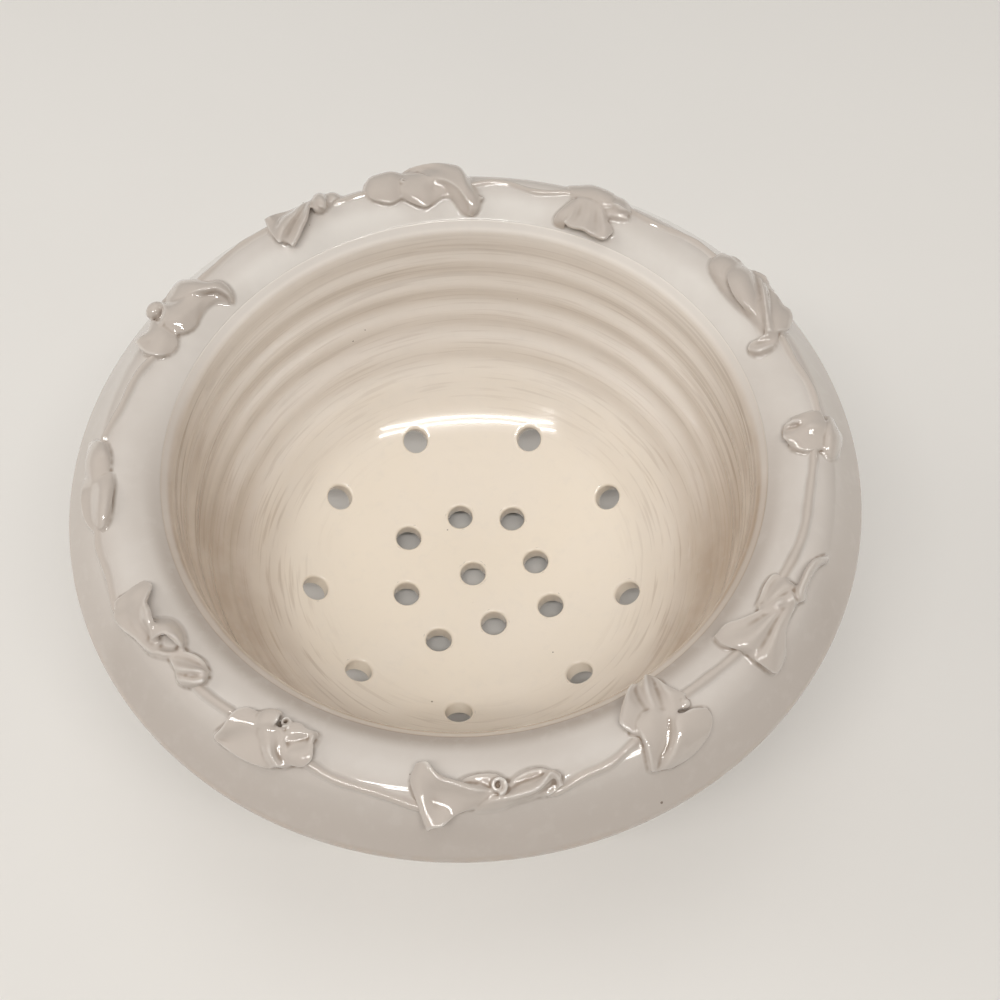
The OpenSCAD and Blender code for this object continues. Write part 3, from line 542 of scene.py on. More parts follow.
        [(608, 200, 1.6), (616, 201, 2.6), (625, 205, 2.3), (632, 211, 0.8)],
        [(609, 204, 2.6), (617, 204, 3.6), (625, 209, 3), (632, 214, 0.8)]]),
    dict(leaf="8c", seen=[[(605, 205, 2), (615, 207, 2), (627, 212, 1.4)],
        [(607, 213, 1.7), (617, 215, 1.7), (628, 218, 1.1)],
        [(609, 219, 0.3), (619, 221, 0.4), (629, 222, 0.2)]]),
    dict(leaf="9a", seen=[[(712, 258, 0.4), (722, 252, 0.5), (735, 251, 0.5), (748, 257, 0.4)],
        [(709, 264, 0.9), (721, 260, 2.2), (737, 259, 2.2), (754, 264, 1.2)],
        [(711, 273, 0.9), (719, 273, 2.2), (732, 272, 2.2), (758, 275, 2.3)],
        [(717, 283, 0.9), (725, 283, 1.9), (740, 286, 2.2), (762, 288, 2.5)],
        [(727, 297, 0.7), (734, 297, 1.5), (746, 300, 2.2), (765, 301, 2.6)],
        [(740, 310, 0.6), (746, 310, 1.3), (754, 312, 2), (767, 314, 2.5)],
        [(753, 322, 0.4), (757, 323, 1), (761, 325, 1.4), (768, 326, 2)],
        [(760, 335, 0.3), (763, 335, 0.5), (765, 335, 0.6), (768, 335, 0.4)]]),
    dict(leaf="9a", seen=[[(727, 268, 1.8), (736, 265, 2.4), (747, 267, 2.4), (755, 272, 1.3)],
        [(727, 279, 3.3), (737, 278, 4.2), (748, 280, 3.8), (758, 284, 1.7)],
        [(731, 292, 3.3), (740, 291, 4.2), (750, 294, 3.6), (760, 298, 1.5)],
        [(739, 304, 2.6), (746, 304, 3.2), (754, 308, 2.7), (762, 311, 1.3)],
        [(751, 317, 1), (756, 318, 1.4), (760, 321, 1.6), (764, 323, 0.9)]]),
    dict(leaf="9a", seen=[[(755, 269, 1.2), (757, 270, 2.2), (760, 270, 1.2)],
        [(758, 284, 2), (762, 284, 3.7), (766, 285, 1.9)],
        [(761, 300, 2), (765, 300, 4), (770, 300, 1.8)],
        [(763, 317, 1.9), (767, 316, 3.8), (773, 316, 1.8)],
        [(764, 332, 1.8), (769, 331, 3.3), (777, 333, 1.8)]]),
    dict(leaf="9b", seen=[[(757, 338, 1.9), (764, 335, 2.4), (772, 334, 2.2), (779, 336, 0.9)],
        [(750, 343, 1.6), (759, 343, 1.2), (768, 342, 1.2), (777, 341, 0.9)],
        [(747, 349, 1.4), (756, 350, 1.9), (765, 348, 1.9), (774, 345, 1.2)],
        [(751, 355, 0.4), (759, 356, 0.5), (767, 352, 0.5), (775, 347, 0.3)]]),
    dict(leaf="9c", seen=[[(757, 264, 0.7), (760, 265, 0.8), (763, 266, 0.4)],
        [(764, 279, 1.2), (769, 277, 2.2), (774, 279, 1.1)],
        [(767, 292, 1.2), (774, 290, 2.2), (780, 291, 1.4)],
        [(770, 306, 1.3), (779, 303, 2), (787, 303, 1.2)],
        [(771, 319, 1.5), (782, 316, 1.8), (791, 314, 1)],
        [(776, 334, 1.2), (781, 332, 1.1), (786, 329, 0.5)]]),
    dict(leaf="9c", seen=[[(790, 311, 1), (792, 313, 1.6), (794, 317, 0.7)],
        [(784, 318, 1.6), (788, 320, 2.8), (792, 323, 1.1)],
        [(780, 327, 1.2), (784, 329, 2.1), (788, 331, 0.8)],
        [(779, 335, 0.4), (781, 336, 0.6), (783, 337, 0.2)]]),
    dict(leaf="10a", seen=[[(790, 417, 1.4), (800, 413, 1.8), (811, 410, 1.8), (821, 410, 0.9)],
        [(791, 421, 2.8), (801, 420, 2.6), (812, 419, 2.4), (825, 418, 1.8)],
        [(783, 430, 1.2), (796, 426, 1.3), (810, 426, 3.1), (826, 428, 2.4)],
        [(783, 437, 2.6), (795, 436, 2.4), (809, 437, 2), (826, 438, 1.8)],
        [(790, 448, 0.7), (798, 450, 1.1), (809, 451, 1.2), (823, 449, 1)]]),
    dict(leaf="10b", seen=[[(826, 415, 0.7), (830, 415, 1.2), (834, 418, 0.7)],
        [(826, 425, 1.4), (831, 425, 2.6), (838, 427, 1.2)],
        [(824, 434, 1.6), (832, 436, 2.8), (843, 437, 1.2)],
        [(823, 447, 1), (832, 449, 1.9), (842, 449, 1)],
        [(826, 457, 0.4), (832, 459, 0.6), (838, 458, 0.3)]]),
    dict(leaf="11a", seen=[
        [(773, 603, 1.2), (777, 605, 1.6), (781, 606, 2), (785, 607, 2), (789, 607, 2), (793, 606, 1.6),
         (798, 604, 0.7)],
        [(758, 611, 2.5), (762, 617, 1.8), (769, 620, 2.9), (775, 622, 2), (780, 624, 2.9),
         (786, 624, 2.1), (792, 617, 1.1)],
        [(740, 618, 2.8), (745, 628, 2), (755, 635, 3.1), (766, 638, 1.9), (774, 640, 2.9),
         (782, 640, 2), (788, 630, 1.4)],
        [(725, 623, 2.4), (729, 634, 2), (742, 644, 2.9), (757, 651, 1.7), (767, 655, 2.7),
         (779, 656, 2), (787, 642, 1.4)],
        [(713, 636, 1), (720, 643, 1.2), (733, 649, 1.6), (750, 655, 0.9), (759, 663, 1.7),
         (778, 674, 1.6), (787, 657, 0.8)]]),
    dict(leaf="11a", seen=[[(757, 606, 1.2), (760, 610, 2), (764, 613, 2)],
        [(766, 603, 1.6), (770, 607, 2), (773, 611, 2.2)],
        [(776, 598, 2), (779, 602, 3.2), (781, 608, 2.1)],
        [(784, 593, 2), (786, 599, 2.7), (789, 606, 2.2)],
        [(792, 591, 2.3), (795, 598, 3.1), (797, 605, 1.6)]]),
    dict(leaf="11b", seen=[[(755, 608, 0.5), (761, 606, 0.9), (767, 604, 1.4), (772, 604, 0.7)],
        [(760, 595, 1.4), (766, 597, 1.4), (774, 597, 2.6), (780, 599, 0.9)],
        [(766, 582, 1.7), (773, 585, 1.3), (781, 590, 2.8), (788, 597, 0.9)],
        [(774, 573, 1.3), (781, 578, 1.2), (789, 585, 2.4), (796, 593, 0.7)],
        [(786, 576, 0.4), (790, 580, 0.7), (794, 583, 1), (798, 588, 0.3)]]),
    dict(leaf="11c", seen=[[(796, 602, 0.6), (801, 603, 1.8), (807, 600, 0.6)],
        [(796, 590, 1.8), (801, 591, 3.6), (808, 589, 1.6)],
        [(801, 577, 2), (806, 578, 3.9), (813, 577, 1.4)],
        [(807, 565, 2), (811, 568, 3.7), (818, 570, 1.2)],
        [(816, 557, 1.6), (818, 561, 2.9), (823, 565, 0.9)],
        [(829, 555, 0.6), (829, 557, 1.2), (829, 561, 0.3)]]),
    dict(leaf="12a", seen=[
        [(640, 714, 1.4), (653, 710, 2.1), (668, 713, 1.5), (680, 712, 2.4), (694, 707, 2.4),
         (708, 706, 1.4)],
        [(638, 724, 1.9), (652, 722, 2.1), (670, 723, 1), (678, 721, 2.9), (694, 718, 2.6),
         (714, 717, 1.6)],
        [(642, 735, 2.1), (654, 733, 1.8), (670, 735, 0.8), (679, 733, 3.1), (693, 731, 2.6),
         (712, 731, 1.6)],
        [(647, 744, 2.1), (656, 744, 1.5), (667, 747, 0.7), (676, 747, 2.9), (687, 746, 2.4),
         (703, 746, 1.4)],
        [(651, 757, 1.9), (656, 757, 1.3), (661, 758, 0.7), (671, 760, 2.4), (680, 760, 1.9),
         (690, 759, 1.1)],
        [(653, 773, 1.2), (655, 772, 1.1), (657, 772, 0.9), (661, 771, 1.2), (666, 770, 1.2),
         (672, 769, 0.8)]]),
    dict(leaf="12b", seen=[
        [(641, 735, 0.7), (642, 722, 1), (645, 714, 1), (649, 713, 1.4), (656, 713, 1.7),
         (664, 712, 1.3), (674, 711, 1.8), (685, 707, 1.4)],
        [(635, 734, 1.4), (632, 721, 2.1), (634, 706, 2.3), (640, 700, 1), (649, 695, 2.6),
         (658, 693, 1), (670, 697, 2.3), (684, 699, 1.3)],
        [(629, 732, 1.6), (623, 722, 2.5), (628, 698, 2.7), (636, 688, 1.1), (646, 684, 3),
         (655, 684, 1.1), (667, 690, 2.6), (685, 696, 1.6)],
        [(626, 731, 0.9), (618, 718, 2), (626, 683, 2.2), (634, 677, 1.2), (643, 672, 2.7),
         (652, 675, 1.2), (666, 683, 2.2), (688, 693, 1.1)]]),
]

# the vine between clusters: angle and share across the rim at both ends, and how far it wanders
vineRows = [
    dict(vine=1, start=(-112.2, 0.27), end=(-96.8, 0.62), wander=0.04),
    dict(vine=2, start=(-132.6, 0.16), end=(-128.4, 0.12), wander=0),
    dict(vine=3, start=(-166, 0.52), end=(-153.9, 0.6), wander=0.06),
    dict(vine=4, start=(161.2, -0.05), end=(175.6, 0.35), wander=0.05),
    dict(vine=5, start=(128.8, 0.45), end=(144.6, 0.4), wander=0.05),
    dict(vine=6, start=(109.9, 0.22), end=(111.6, 0.22), wander=0),
    dict(vine=7, start=(71.4, 0.1), end=(87.6, 0.04), wander=-0.12),
    dict(vine=8, start=(40.6, 0.45), end=(55.8, 0.24), wander=0.08),
    dict(vine=9, start=(5.4, 0.42), end=(17, 0.26), wander=0.04),
    dict(vine=10, start=(-28.2, -0.15), end=(-3.6, 0.1), wander=0.04),
    dict(vine=11, start=(-54, -0.19), end=(-45.9, -0.1), wander=0),
    dict(vine=12, start=(-75.6, 0.45), end=(-67.4, 0.22), wander=-0.03),
]

# buds, and curls where a row has a tall value
budRows = [
    dict(bud="curl_1", az=-85.4, out=0.22, size=1.05, tall=1.4),
    dict(bud="curl_2", az=-118.0, out=-0.26, size=0.75, tall=1.3),
    dict(bud="bud_5", az=151.6, out=0.86, size=1.3),
    dict(bud="bud_6", az=117.2, out=0.16, size=1.0),
    dict(bud="curl_7", az=100.8, out=0.16, size=0.55, tall=1.5),
    dict(bud="bud_12", az=-55.7, out=-0.02, size=0.6),
]


# weights that lay a smooth line through evenly spaced knots, straight past both ends
def weave(knots, count):
    t = np.linspace(0, knots - 1, count)
    first = np.minimum(t.astype(int), knots - 2)
    f = t - first
    before, own = -f + 2 * f ** 2 - f ** 3, 2 - 5 * f ** 2 + 3 * f ** 3
    following, last = f + 4 * f ** 2 - 3 * f ** 3, f ** 3 - f ** 2
    parts = np.stack([before, own, following, last], -1) / 2
    weights = np.zeros((count, knots + 2))
    for k in range(4):
        weights[np.arange(count), first + k] += parts[:, k]
    weights[:, 1] += 2 * weights[:, 0]
    weights[:, 2] -= weights[:, 0]
    weights[:, -2] += 2 * weights[:, -1]
    weights[:, -3] -= weights[:, -1]
    return weights[:, 1:-1]


# the photograph's camera: place and lens in mm, pitch and roll in radians, clip in metres
view = dict(place=(8.70, -157.54, 327.7), pitch=1.05, roll=-0.023, lens=42.2, sensor=36, pixels=1000,
            clip=0.01)


# the camera's directions: ahead, right and up
def viewAxes():
    ahead = np.array([0, math.cos(view["pitch"]), -math.sin(view["pitch"])])
    level = np.array([1.0, 0, 0])
    rise = np.cross(level, ahead)
    c, w = math.cos(view["roll"]), math.sin(view["roll"])
    return ahead, c * level + w * rise, c * rise - w * level


# limits of the search along each ray, and of a knot's place and height over the rim
search = dict(nearest=200, farthest=420, step=0.05, turn=0.6, near=-10, far=17, low=0.2, rise=1.3, high=4.3,
              backShare=0.12, backOut=2.2)


# places of noted knots: along the rim, across it and above it, in mm. The ray through each pixel is followed
# down to the knot's height over the rim. A ray that would pass the cluster's far limit first stops there, and
# the knot takes its height from the ray, since it is on the cluster's outline
def knotsOnRim(seen, cluster):
    q = search
    seen = np.array(seen, float)
    ahead, right, up = viewAxes()
    far, rise = cluster.get("far", q["far"]), cluster.get("rise", q["rise"])
    focal = view["lens"] / view["sensor"] * view["pixels"]
    off = seen[..., :2] - view["pixels"] / 2
    ray = ahead + (off[..., :1] * right - off[..., 1:] * up) / focal
    way = np.arange(q["nearest"], q["farthest"], q["step"])[:, None, None, None]
    points = np.array(view["place"]) + way * ray
    angle, s, lift = (k.reshape(points.shape[:3]) for k in offRim(points.reshape(-1, 3)))
    turn = (angle - math.radians(cluster["az"]) + pi) % (2 * pi) - pi
    nearby = abs(turn) < q["turn"]
    landing = (nearby & (lift <= seen[..., 2])).argmax(0)
    passing = (nearby & (s >= far)).argmax(0)

    def at(values, which):
        return np.take_along_axis(values, which[None], 0)[0]

    beyond = (landing == 0) | (at(s, landing) > far)
    stop = np.where(beyond, passing, landing)
    height = np.clip(at(lift, stop), q["low"], np.minimum(seen[..., 2] + rise, q["high"]))
    height = np.where(beyond, height, seen[..., 2])
    knots = np.stack([at(turn, stop) * rimShape["crown"], np.maximum(at(s, stop), q["near"]), height], -1)
    if beyond[:, 0].mean() >= 0.5:   # the sheet's back comes down to the rim out of sight
        back = knots[:, :1] * (1, 1, q["backShare"]) + (0, q["backOut"], q["low"])
        knots = np.concatenate([back, knots], 1)
    return knots


# closed shell of one folded sheet of clay. A smooth surface is laid through the sheet's cage of knots; its
# underside is the same surface moved back by the clay's thickness
def leafShell(row, cluster):
    cage = knotsOnRim(row["seen"], cluster)
    n, m = cage.shape[:2]
    reach = [np.linalg.norm(np.diff(cage, axis=k), axis=-1).sum(k).max() for k in (0, 1)]
    counts = [int(k / leafShape["step"]) + 6 for k in reach]
    sheet = np.einsum("in,jm,nmk->ijk", weave(n, counts[0]), weave(m, counts[1]), cage)
    facing = np.cross(np.gradient(sheet, axis=0), np.gradient(sheet, axis=1))
    facing = facing / (np.linalg.norm(facing, axis=-1, keepdims=True) + 1e-9)
    turned = facing[..., 2].mean() < 0
    facing = -facing if turned else facing
    under = sheet - leafShape["thick"] * facing
    start = math.radians(cluster["az"])
    top, bottom = (onRim(start + k[..., 0] / rimShape["crown"], k[..., 1], k[..., 2]) for k in (sheet, under))
    if turned:
        top, bottom = top[::-1], bottom[::-1]
    return shellBetween(top, bottom), start + sheet[..., 0] / rimShape["crown"], sheet[..., 1]


# points and faces of a closed shell: top grid, bottom grid and a band round their edges
def shellBetween(top, bottom):
    n, m = top.shape[:2]
    topFaces = gridFaces(n, m)
    bottomFaces = gridFaces(n, m, n * m)[:, ::-1]
    thereSide, backSide = np.arange(2, n + 1) * m - 1, np.arange(n - 2, 0, -1) * m
    ring = np.concatenate([np.arange(m), thereSide, n * m - 2 - np.arange(m - 1), backSide])
    nextRing = np.roll(ring, -1)
    band = np.stack([nextRing, ring, ring + n * m, nextRing + n * m], -1)
    points = np.concatenate([top.reshape(-1, 3), bottom.reshape(-1, 3)])
    return points, np.concatenate([topFaces, bottomFaces, band])


# points round a line that stands square on the rim: at a distance from it, turned round it, and at a height
def turnedPoints(row, wide, turn, high):
    radius, height, outward, upward = (float(k) for k in rimSection(leafShape["band"] * row["out"]))
    c, w = math.cos(math.radians(row["az"])), math.sin(math.radians(row["az"]))
    down = np.array([upward * c, upward * w, -outward])
    up = np.array([outward * c, outward * w, upward])
    ring = np.cos(turn)[..., None] * down + np.sin(turn)[..., None] * np.array([-w, c, 0.0])
    return np.array([radius * c, radius * w, height]) + wide[..., None] * ring + high[..., None] * up


budShape = dict(size=2.0, foot=0.25, wide=0.98, tall=0.8, sunk=0.15, around=28, rows=15)


# squat egg on a narrower foot: a closed profile turned round the direction square to the rim
def budShell(row):
    q = budShape
    turn, bend = np.meshgrid(fullTurn(q["around"]), np.linspace(0, pi, q["rows"]), indexing="xy")
    size = q["size"] * row["size"]
    wide = size * (q["foot"] * (1 + np.cos(bend)) / 2 * np.sin(bend / 2) + np.sin(bend)) * q["wide"]
    high = size * (1 - np.cos(bend)) * q["tall"] - q["sunk"]
    return turnedPoints(row, wide, turn, high), gridFaces(q["rows"], q["around"], 0, True)


curlShape = dict(size=2.0, tall=2.0, sunk=0.2, turns=1.4, drop=0.25, outside=(1.04, 0.58), inside=(0.66, 0.5),
                 along=48, rows=10)


# rolled strip standing on end: a wall wound along a spiral, a little lower at its inner end
def curlShell(row):
    q = curlShape
    wind, level = np.meshgrid(np.linspace(0, 1, q["along"]), np.linspace(0, 1, q["rows"]), indexing="ij")
    turn = 2 * pi * q["turns"] * wind
    high = -q["sunk"] + (q["tall"] * row["tall"] * (1 - q["drop"] * wind) + q["sunk"]) * level
    faces = []
    for start, narrower in (q["outside"], q["inside"]):
        faces.append(turnedPoints(row, q["size"] * row["size"] * (start - narrower * wind), turn, high))
    return shellBetween(*faces)


padShape = dict(thick=1.6, step=0.8, margin=3, marginTurn=0.035, inner=-10, outer=18)


# slab of the rim's own surface under a cluster's sheets, given their least and greatest angles and distances
# across; it lets the glaze fillets form where leaves meet the rim
def rimPad(spans):
    q = padShape
    low, high = spans[:, 0].min() - q["marginTurn"], spans[:, 1].max() + q["marginTurn"]
    inner = max(spans[:, 2].min() - q["margin"], q["inner"])
    outer = min(spans[:, 3].max() + q["margin"], q["outer"])
    n = int((high - low) * rimShape["crown"] / q["step"]) + 2
    m = int((outer - inner) / q["step"]) + 2
    angle, s = np.meshgrid(np.linspace(low, high, n), np.linspace(inner, outer, m), indexing="ij")
    return shellBetween(onRim(angle, s, 0 * s), onRim(angle, s, 0 * s - q["thick"]))


glazeFlow = dict(voxel=0.22, slit=0.38, pool=26, soften=4, sink=0.04, pull=0.6, ridgePull=0.06, blur=4)


# lets the glaze flow: each point moves towards the mean of its neighbours, many times in hollows, where glaze
# pools, and a few times on ridges, where it thins. Gives back how hollow or sharp each point was
def flowGlaze(mesh):
    q = glazeFlow
    points = meshPoints(mesh)
    ends = np.empty(len(mesh.edges) * 2, int)
    mesh.edges.foreach_get("vertices", ends)
    a, b = ends.reshape(-1, 2).T
    count = np.bincount(np.concatenate([a, b]), minlength=len(points))[:, None]

    def mean(values):
        total = []
        for here, there in zip(values[a].T, values[b].T):
            total.append(np.bincount(a, there, len(count)) + np.bincount(b, here, len(count)))
        return np.stack(total, -1) / count

    for k in range(q["pool"]):
        normal = movedNormals(mesh, points)
        pull = mean(points) - points
        hollow = np.einsum("ij,ij->i", pull, normal)
        if k == q["soften"]:
            fold = hollow.copy()
        ridgePull = q["pull"] if k < q["soften"] else q["ridgePull"]
        points = points + np.where(hollow > 0, q["pull"], ridgePull)[:, None] * pull
    for _ in range(q["blur"]):
        fold = mean(fold[:, None])[:, 0]
    return points, fold


# one skin round all the pieces of clay in a mesh, by a voxel remesh
def joinClay(mesh):
    rough = bpy.data.objects.new("rough", mesh)
    scene.collection.objects.link(rough)
    remesh = rough.modifiers.new("join", "REMESH")
    remesh.mode = "VOXEL"
    remesh.voxel_size = glazeFlow["voxel"]
    remesh.adaptivity = 0
    joined = bpy.data.meshes.new_from_object(rough.evaluated_get(bpy.context.evaluated_depsgraph_get()))
    bpy.data.objects.remove(rough)
    return joined


# moves a skin outwards, or inwards where depth is negative, and gives back its points
def swell(mesh, depth):
    points = meshPoints(mesh)
    points = points + depth * movedNormals(mesh, points)
    movedNormals(mesh, points)
    return points


# one cluster of leaves, joined to a pad of the rim by a voxel remesh and flowed together like glaze
def growCluster(name, cluster, rows, buds, nodes, material):
    clay = Clay()
    spans = []
    for row in rows:
        shell, angle, s = leafShell(row, cluster)
        clay.add(*shell)
        spans.append((angle.min(), angle.max(), s.min(), s.max()))
    clay.add(*rimPad(np.array(spans)))
    joined = joinClay(clay.mesh(name))
    # glaze fills the narrow slits: the skin swells, joins and shrinks again
    swell(joined, glazeFlow["slit"])
    joined = joinClay(joined)
    faces = np.empty(len(joined.loops), int)
    joined.polygons.foreach_get("vertices", faces)
    clay = Clay()
    clay.add(swell(joined, -glazeFlow["slit"]), faces.reshape(-1, 4))
    for row in buds:
        clay.add(*(curlShell(row) if "tall" in row else budShell(row)))
    joined = joinClay(clay.mesh(name))
    joined.name = name
    points, fold = flowGlaze(joined)
    angle, s, lift = offRim(points)
    points = onRim(angle, s, lift - glazeFlow["sink"])
    joined.vertices.foreach_set("co", sway(points).ravel())
    finishPiece(joined, material, nodes, dict(lift=lift, fold=fold))
    print("cluster", name, len(points), "points")


vineShape = dict(half=2.2, high=1.1, under=5.0, step=0.45, taper=1.8, sunk=0.07, deep=0.5, across=25)


# a vine melted on to the rim: a rounded ridge with soft feet, carried along a wandering line and thinned to
# nothing at both ends, which lie under the leaves
def layVine(name, row, material):
    q = vineShape
    (fromAz, fromOut), (toAz, toOut) = row["start"], row["end"]
    span = math.radians(toAz - fromAz) * rimShape["crown"]
    n = int((span + 2 * q["under"]) / q["step"]) + 8
    t = np.linspace(-q["under"] / span, 1 + q["under"] / span, n)
    end = np.minimum(t - t[0], t[-1] - t) * span
    uneven = 1 + 0.05 * np.sin(0.9 * t * span + fromAz) + 0.04 * np.sin(0.37 * t * span)
    size = (np.sqrt(np.clip(end / q["taper"], 0, 1)) * uneven)[:, None]
    middle = leafShape["band"] * (fromOut + (toOut - fromOut) * t + row["wander"] * np.sin(2 * pi * t))
    middle = middle + 0.06 * np.sin(0.35 * t * span + fromAz)
    across = q["half"] * np.linspace(-1, 1, q["across"])
    lift = q["high"] * size * np.exp(-0.9 * np.abs(across) ** 2.6) - q["sunk"]
    s = middle[:, None] + across * (0.25 + 0.75 * size)
    angle = np.radians(fromAz + (toAz - fromAz) * t)[:, None] + 0 * s
    clay = Clay()
    clay.add(*shellBetween(onRim(angle, s, lift), onRim(angle, s, 0 * s - q["deep"])))
    mesh = clay.mesh(name, weldWithin)
    points = meshPoints(mesh)
    lifts = offRim(points)[2]
    mesh.vertices.foreach_set("co", sway(points).ravel())
    finishPiece(mesh, material, ["vine_%d" % row["vine"]], dict(lift=lifts, fold=0 * lifts))


# glaze materials

# a node's output that ordinary arithmetic works on: each operator adds a Math node
class Wire:

    def __init__(self, kit, socket):
        self.kit, self.socket = kit, socket

    def __add__(self, other):
        return self.kit.sum("ADD", self, other)

    def __radd__(self, other):
        return self.kit.sum("ADD", other, self)

    def __sub__(self, other):
        return self.kit.sum("SUBTRACT", self, other)

    def __rsub__(self, other):
        return self.kit.sum("SUBTRACT", other, self)

    def __mul__(self, other):
        return self.kit.sum("MULTIPLY", self, other)

    def __rmul__(self, other):
        return self.kit.sum("MULTIPLY", other, self)

    def __truediv__(self, other):
        return self.kit.sum("DIVIDE", self, other)

    def output(self, which):
        return Wire(self.kit, self.socket.node.outputs[which])


# makes the nodes of one material; node() takes a type, its settings and its sockets' values or links
class Kit:

    def __init__(self, name):
        self.material = bpy.data.materials.new(name)
        self.material.use_nodes = True
        self.tree = self.material.node_tree
        self.tree.nodes.clear()

    def node(self, kind, settings=None, sockets=None, out=0):
        node = self.tree.nodes.new("ShaderNode" + kind)
        for key, value in (settings or {}).items():
            setattr(node, key, value)
        for key, value in (sockets or {}).items():
            socket = node.inputs[key]
            if isinstance(value, Wire):
                self.tree.links.new(value.socket, socket)
            else:
                socket.default_value = (*value, 1) if socket.type == "RGBA" and len(value) == 3 else value
        return Wire(self, node.outputs[out]) if node.outputs else node

    def sum(self, kind, a, b):
        return self.node("Math", dict(operation=kind), {0: a, 1: b})

    def between(self, value, low, high, soft=True):
        return self.node("MapRange", dict(interpolation_type="SMOOTHSTEP" if soft else "LINEAR"),
                         {"Value": value, "From Min": low, "From Max": high, "To Min": 0.0, "To Max": 1.0})

    def mix(self, amount, a, b):
        return self.node("Mix", dict(data_type="RGBA"), {0: amount, 6: a, 7: b}, 2)

    def noise(self, place, scale, detail=3.0, rough=0.5):
        values = {"Vector": place, "Scale": scale, "Detail": detail, "Roughness": rough}
        return self.node("TexNoise", None, values)

    def bump(self, height, strength, distance, under=None):
        values = {"Strength": strength, "Distance": distance, "Height": height}
        return self.node("Bump", None, {**values, "Normal": under} if under else values)

    def vector(self, *parts):
        return self.node("CombineXYZ", None, dict(enumerate(parts)))

    def attribute(self, name):
        return self.node("Attribute", dict(attribute_name=name), None, 2)

    def finish(self, colour, roughness, normal, coat=0.0):
        sockets = {"Base Color": colour, "Roughness": roughness, "Normal": normal, "IOR": 1.5}
        if coat:
            sockets.update({"Coat Weight": coat, "Coat Roughness": 0.03})
        shader = self.node("BsdfPrincipled", None, sockets)
        self.node("OutputMaterial", None, {"Surface": shader})
        return self.material


# some tones here also paint light and shade: the greyer rim tone paints shade down the outer slope, the
# pooled tone shade in leaf folds and on the near inner slope, the groove tone shade up the near wall, and the
# crown and ridge tones painted highlights and a painted glow
glazeLook = dict(rim=(0.610, 0.555, 0.505), rimGreyAndShade=(0.525, 0.465, 0.415), crown=(0.700, 0.655, 0.610),
                 inside=(0.880, 0.820, 0.755), groove=(0.360, 0.260, 0.180), floorTone=(0.915, 0.825, 0.700),
                 clay=(0.480, 0.350, 0.250), leaf=(0.550, 0.485, 0.430), poolAndShade=(0.250, 0.185, 0.135),
                 ridge=(0.800, 0.760, 0.710), line=(0.200, 0.125, 0.075), speck=(0.130, 0.085, 0.055),
                 foot=(0.56, 0.47, 0.37))


# object coordinates in metres, with the distance from the axis and the height
def around(kit):
    place = kit.node("TexCoord", None, None, 3)
    x = kit.node("SeparateXYZ", None, {0: place})
    y, z = x.output(1), x.output(2)
    radius = kit.sum("SQRT", x * x + y * y, 0.0)
    return place, x, y, z, radius


# tiny iron specks: the middles of some cells, sparse and brown
def specked(kit, place, colour):
    distance = kit.node("TexVoronoi", None, {"Vector": place, "Scale": 260.0}, "Distance")
    chosen = kit.node("SeparateColor", None, {0: distance.output("Color")})
    some = kit.between(chosen, 0.955, 0.965, False)
    size = chosen.output(1) * 0.05 + 0.035
    dot = kit.sum("LESS_THAN", distance, size) * some
    return kit.mix(dot * 0.75, colour, glazeLook["speck"])


# fine orange peel over slow swells that bend reflections
def glazeSkin(kit, place):
    swells = kit.bump(kit.noise(place, 75, 2.0, 0.4), 0.10, 0.0006)
    return kit.bump(kit.noise(place, 620, 2.0), 0.05, 0.00012, swells)


# off-white glaze: painted shade down the outer slope, paler along the crown, partly thinner glaze and partly
# a painted highlight, a painted glow on the far side's inner slope, painted shade on the near side's, with
# clay showing at the edge
def rimTone(kit, place, y, radius):
    cloud = kit.noise(place, 38, 4.0, 0.55)
    fine = kit.noise(place, 240, 3.0, 0.6)
    # painted shade: the outer slope greyer
    low = kit.between(radius, 0.0875, 0.097)
    tone = kit.mix(low, glazeLook["rim"], glazeLook["rimGreyAndShade"])
    # paler along the crown: partly thinner glaze, partly a painted highlight
    crown = kit.between(radius, 0.0795, 0.085) * (1 - kit.between(radius, 0.085, 0.0895))
    tone = kit.mix(crown * 0.45, tone, glazeLook["crown"])
    # painted shade: the near side's inner slope darker
    inner = kit.between(radius, 0.0800, 0.0762) * kit.between(y, 0.020, -0.055)
    tone = kit.mix(inner * 0.55, tone, glazeLook["poolAndShade"])
    # painted light: a glow on the far side's inner slope
    paintedFarGlow = kit.between(radius, 0.0850, 0.0795) * kit.between(y, -0.010, 0.050)
    tone = kit.mix(paintedFarGlow * 0.7, tone, glazeLook["ridge"])
    edge = kit.between(radius, 0.0988, 0.1) * kit.between(fine, 0.42, 0.62)
    tone = kit.mix(edge * 0.35, tone, glazeLook["clay"])
    tone = kit.mix(kit.between(cloud, 0.38, 0.66) * 0.30, tone, glazeLook["rimGreyAndShade"])
    return kit.mix(kit.between(fine, 0.5, 0.72) * 0.12, tone, glazeLook["crown"])


def rimGlaze():
    kit = Kit("rimGlaze")
    place, x, y, z, radius = around(kit)
    tone = specked(kit, place, rimTone(kit, place, y, radius))
    rough = 0.075 + 0.05 * kit.noise(place, 90, 3.0)
    return kit.finish(tone, rough, glazeSkin(kit, place), 0.8)


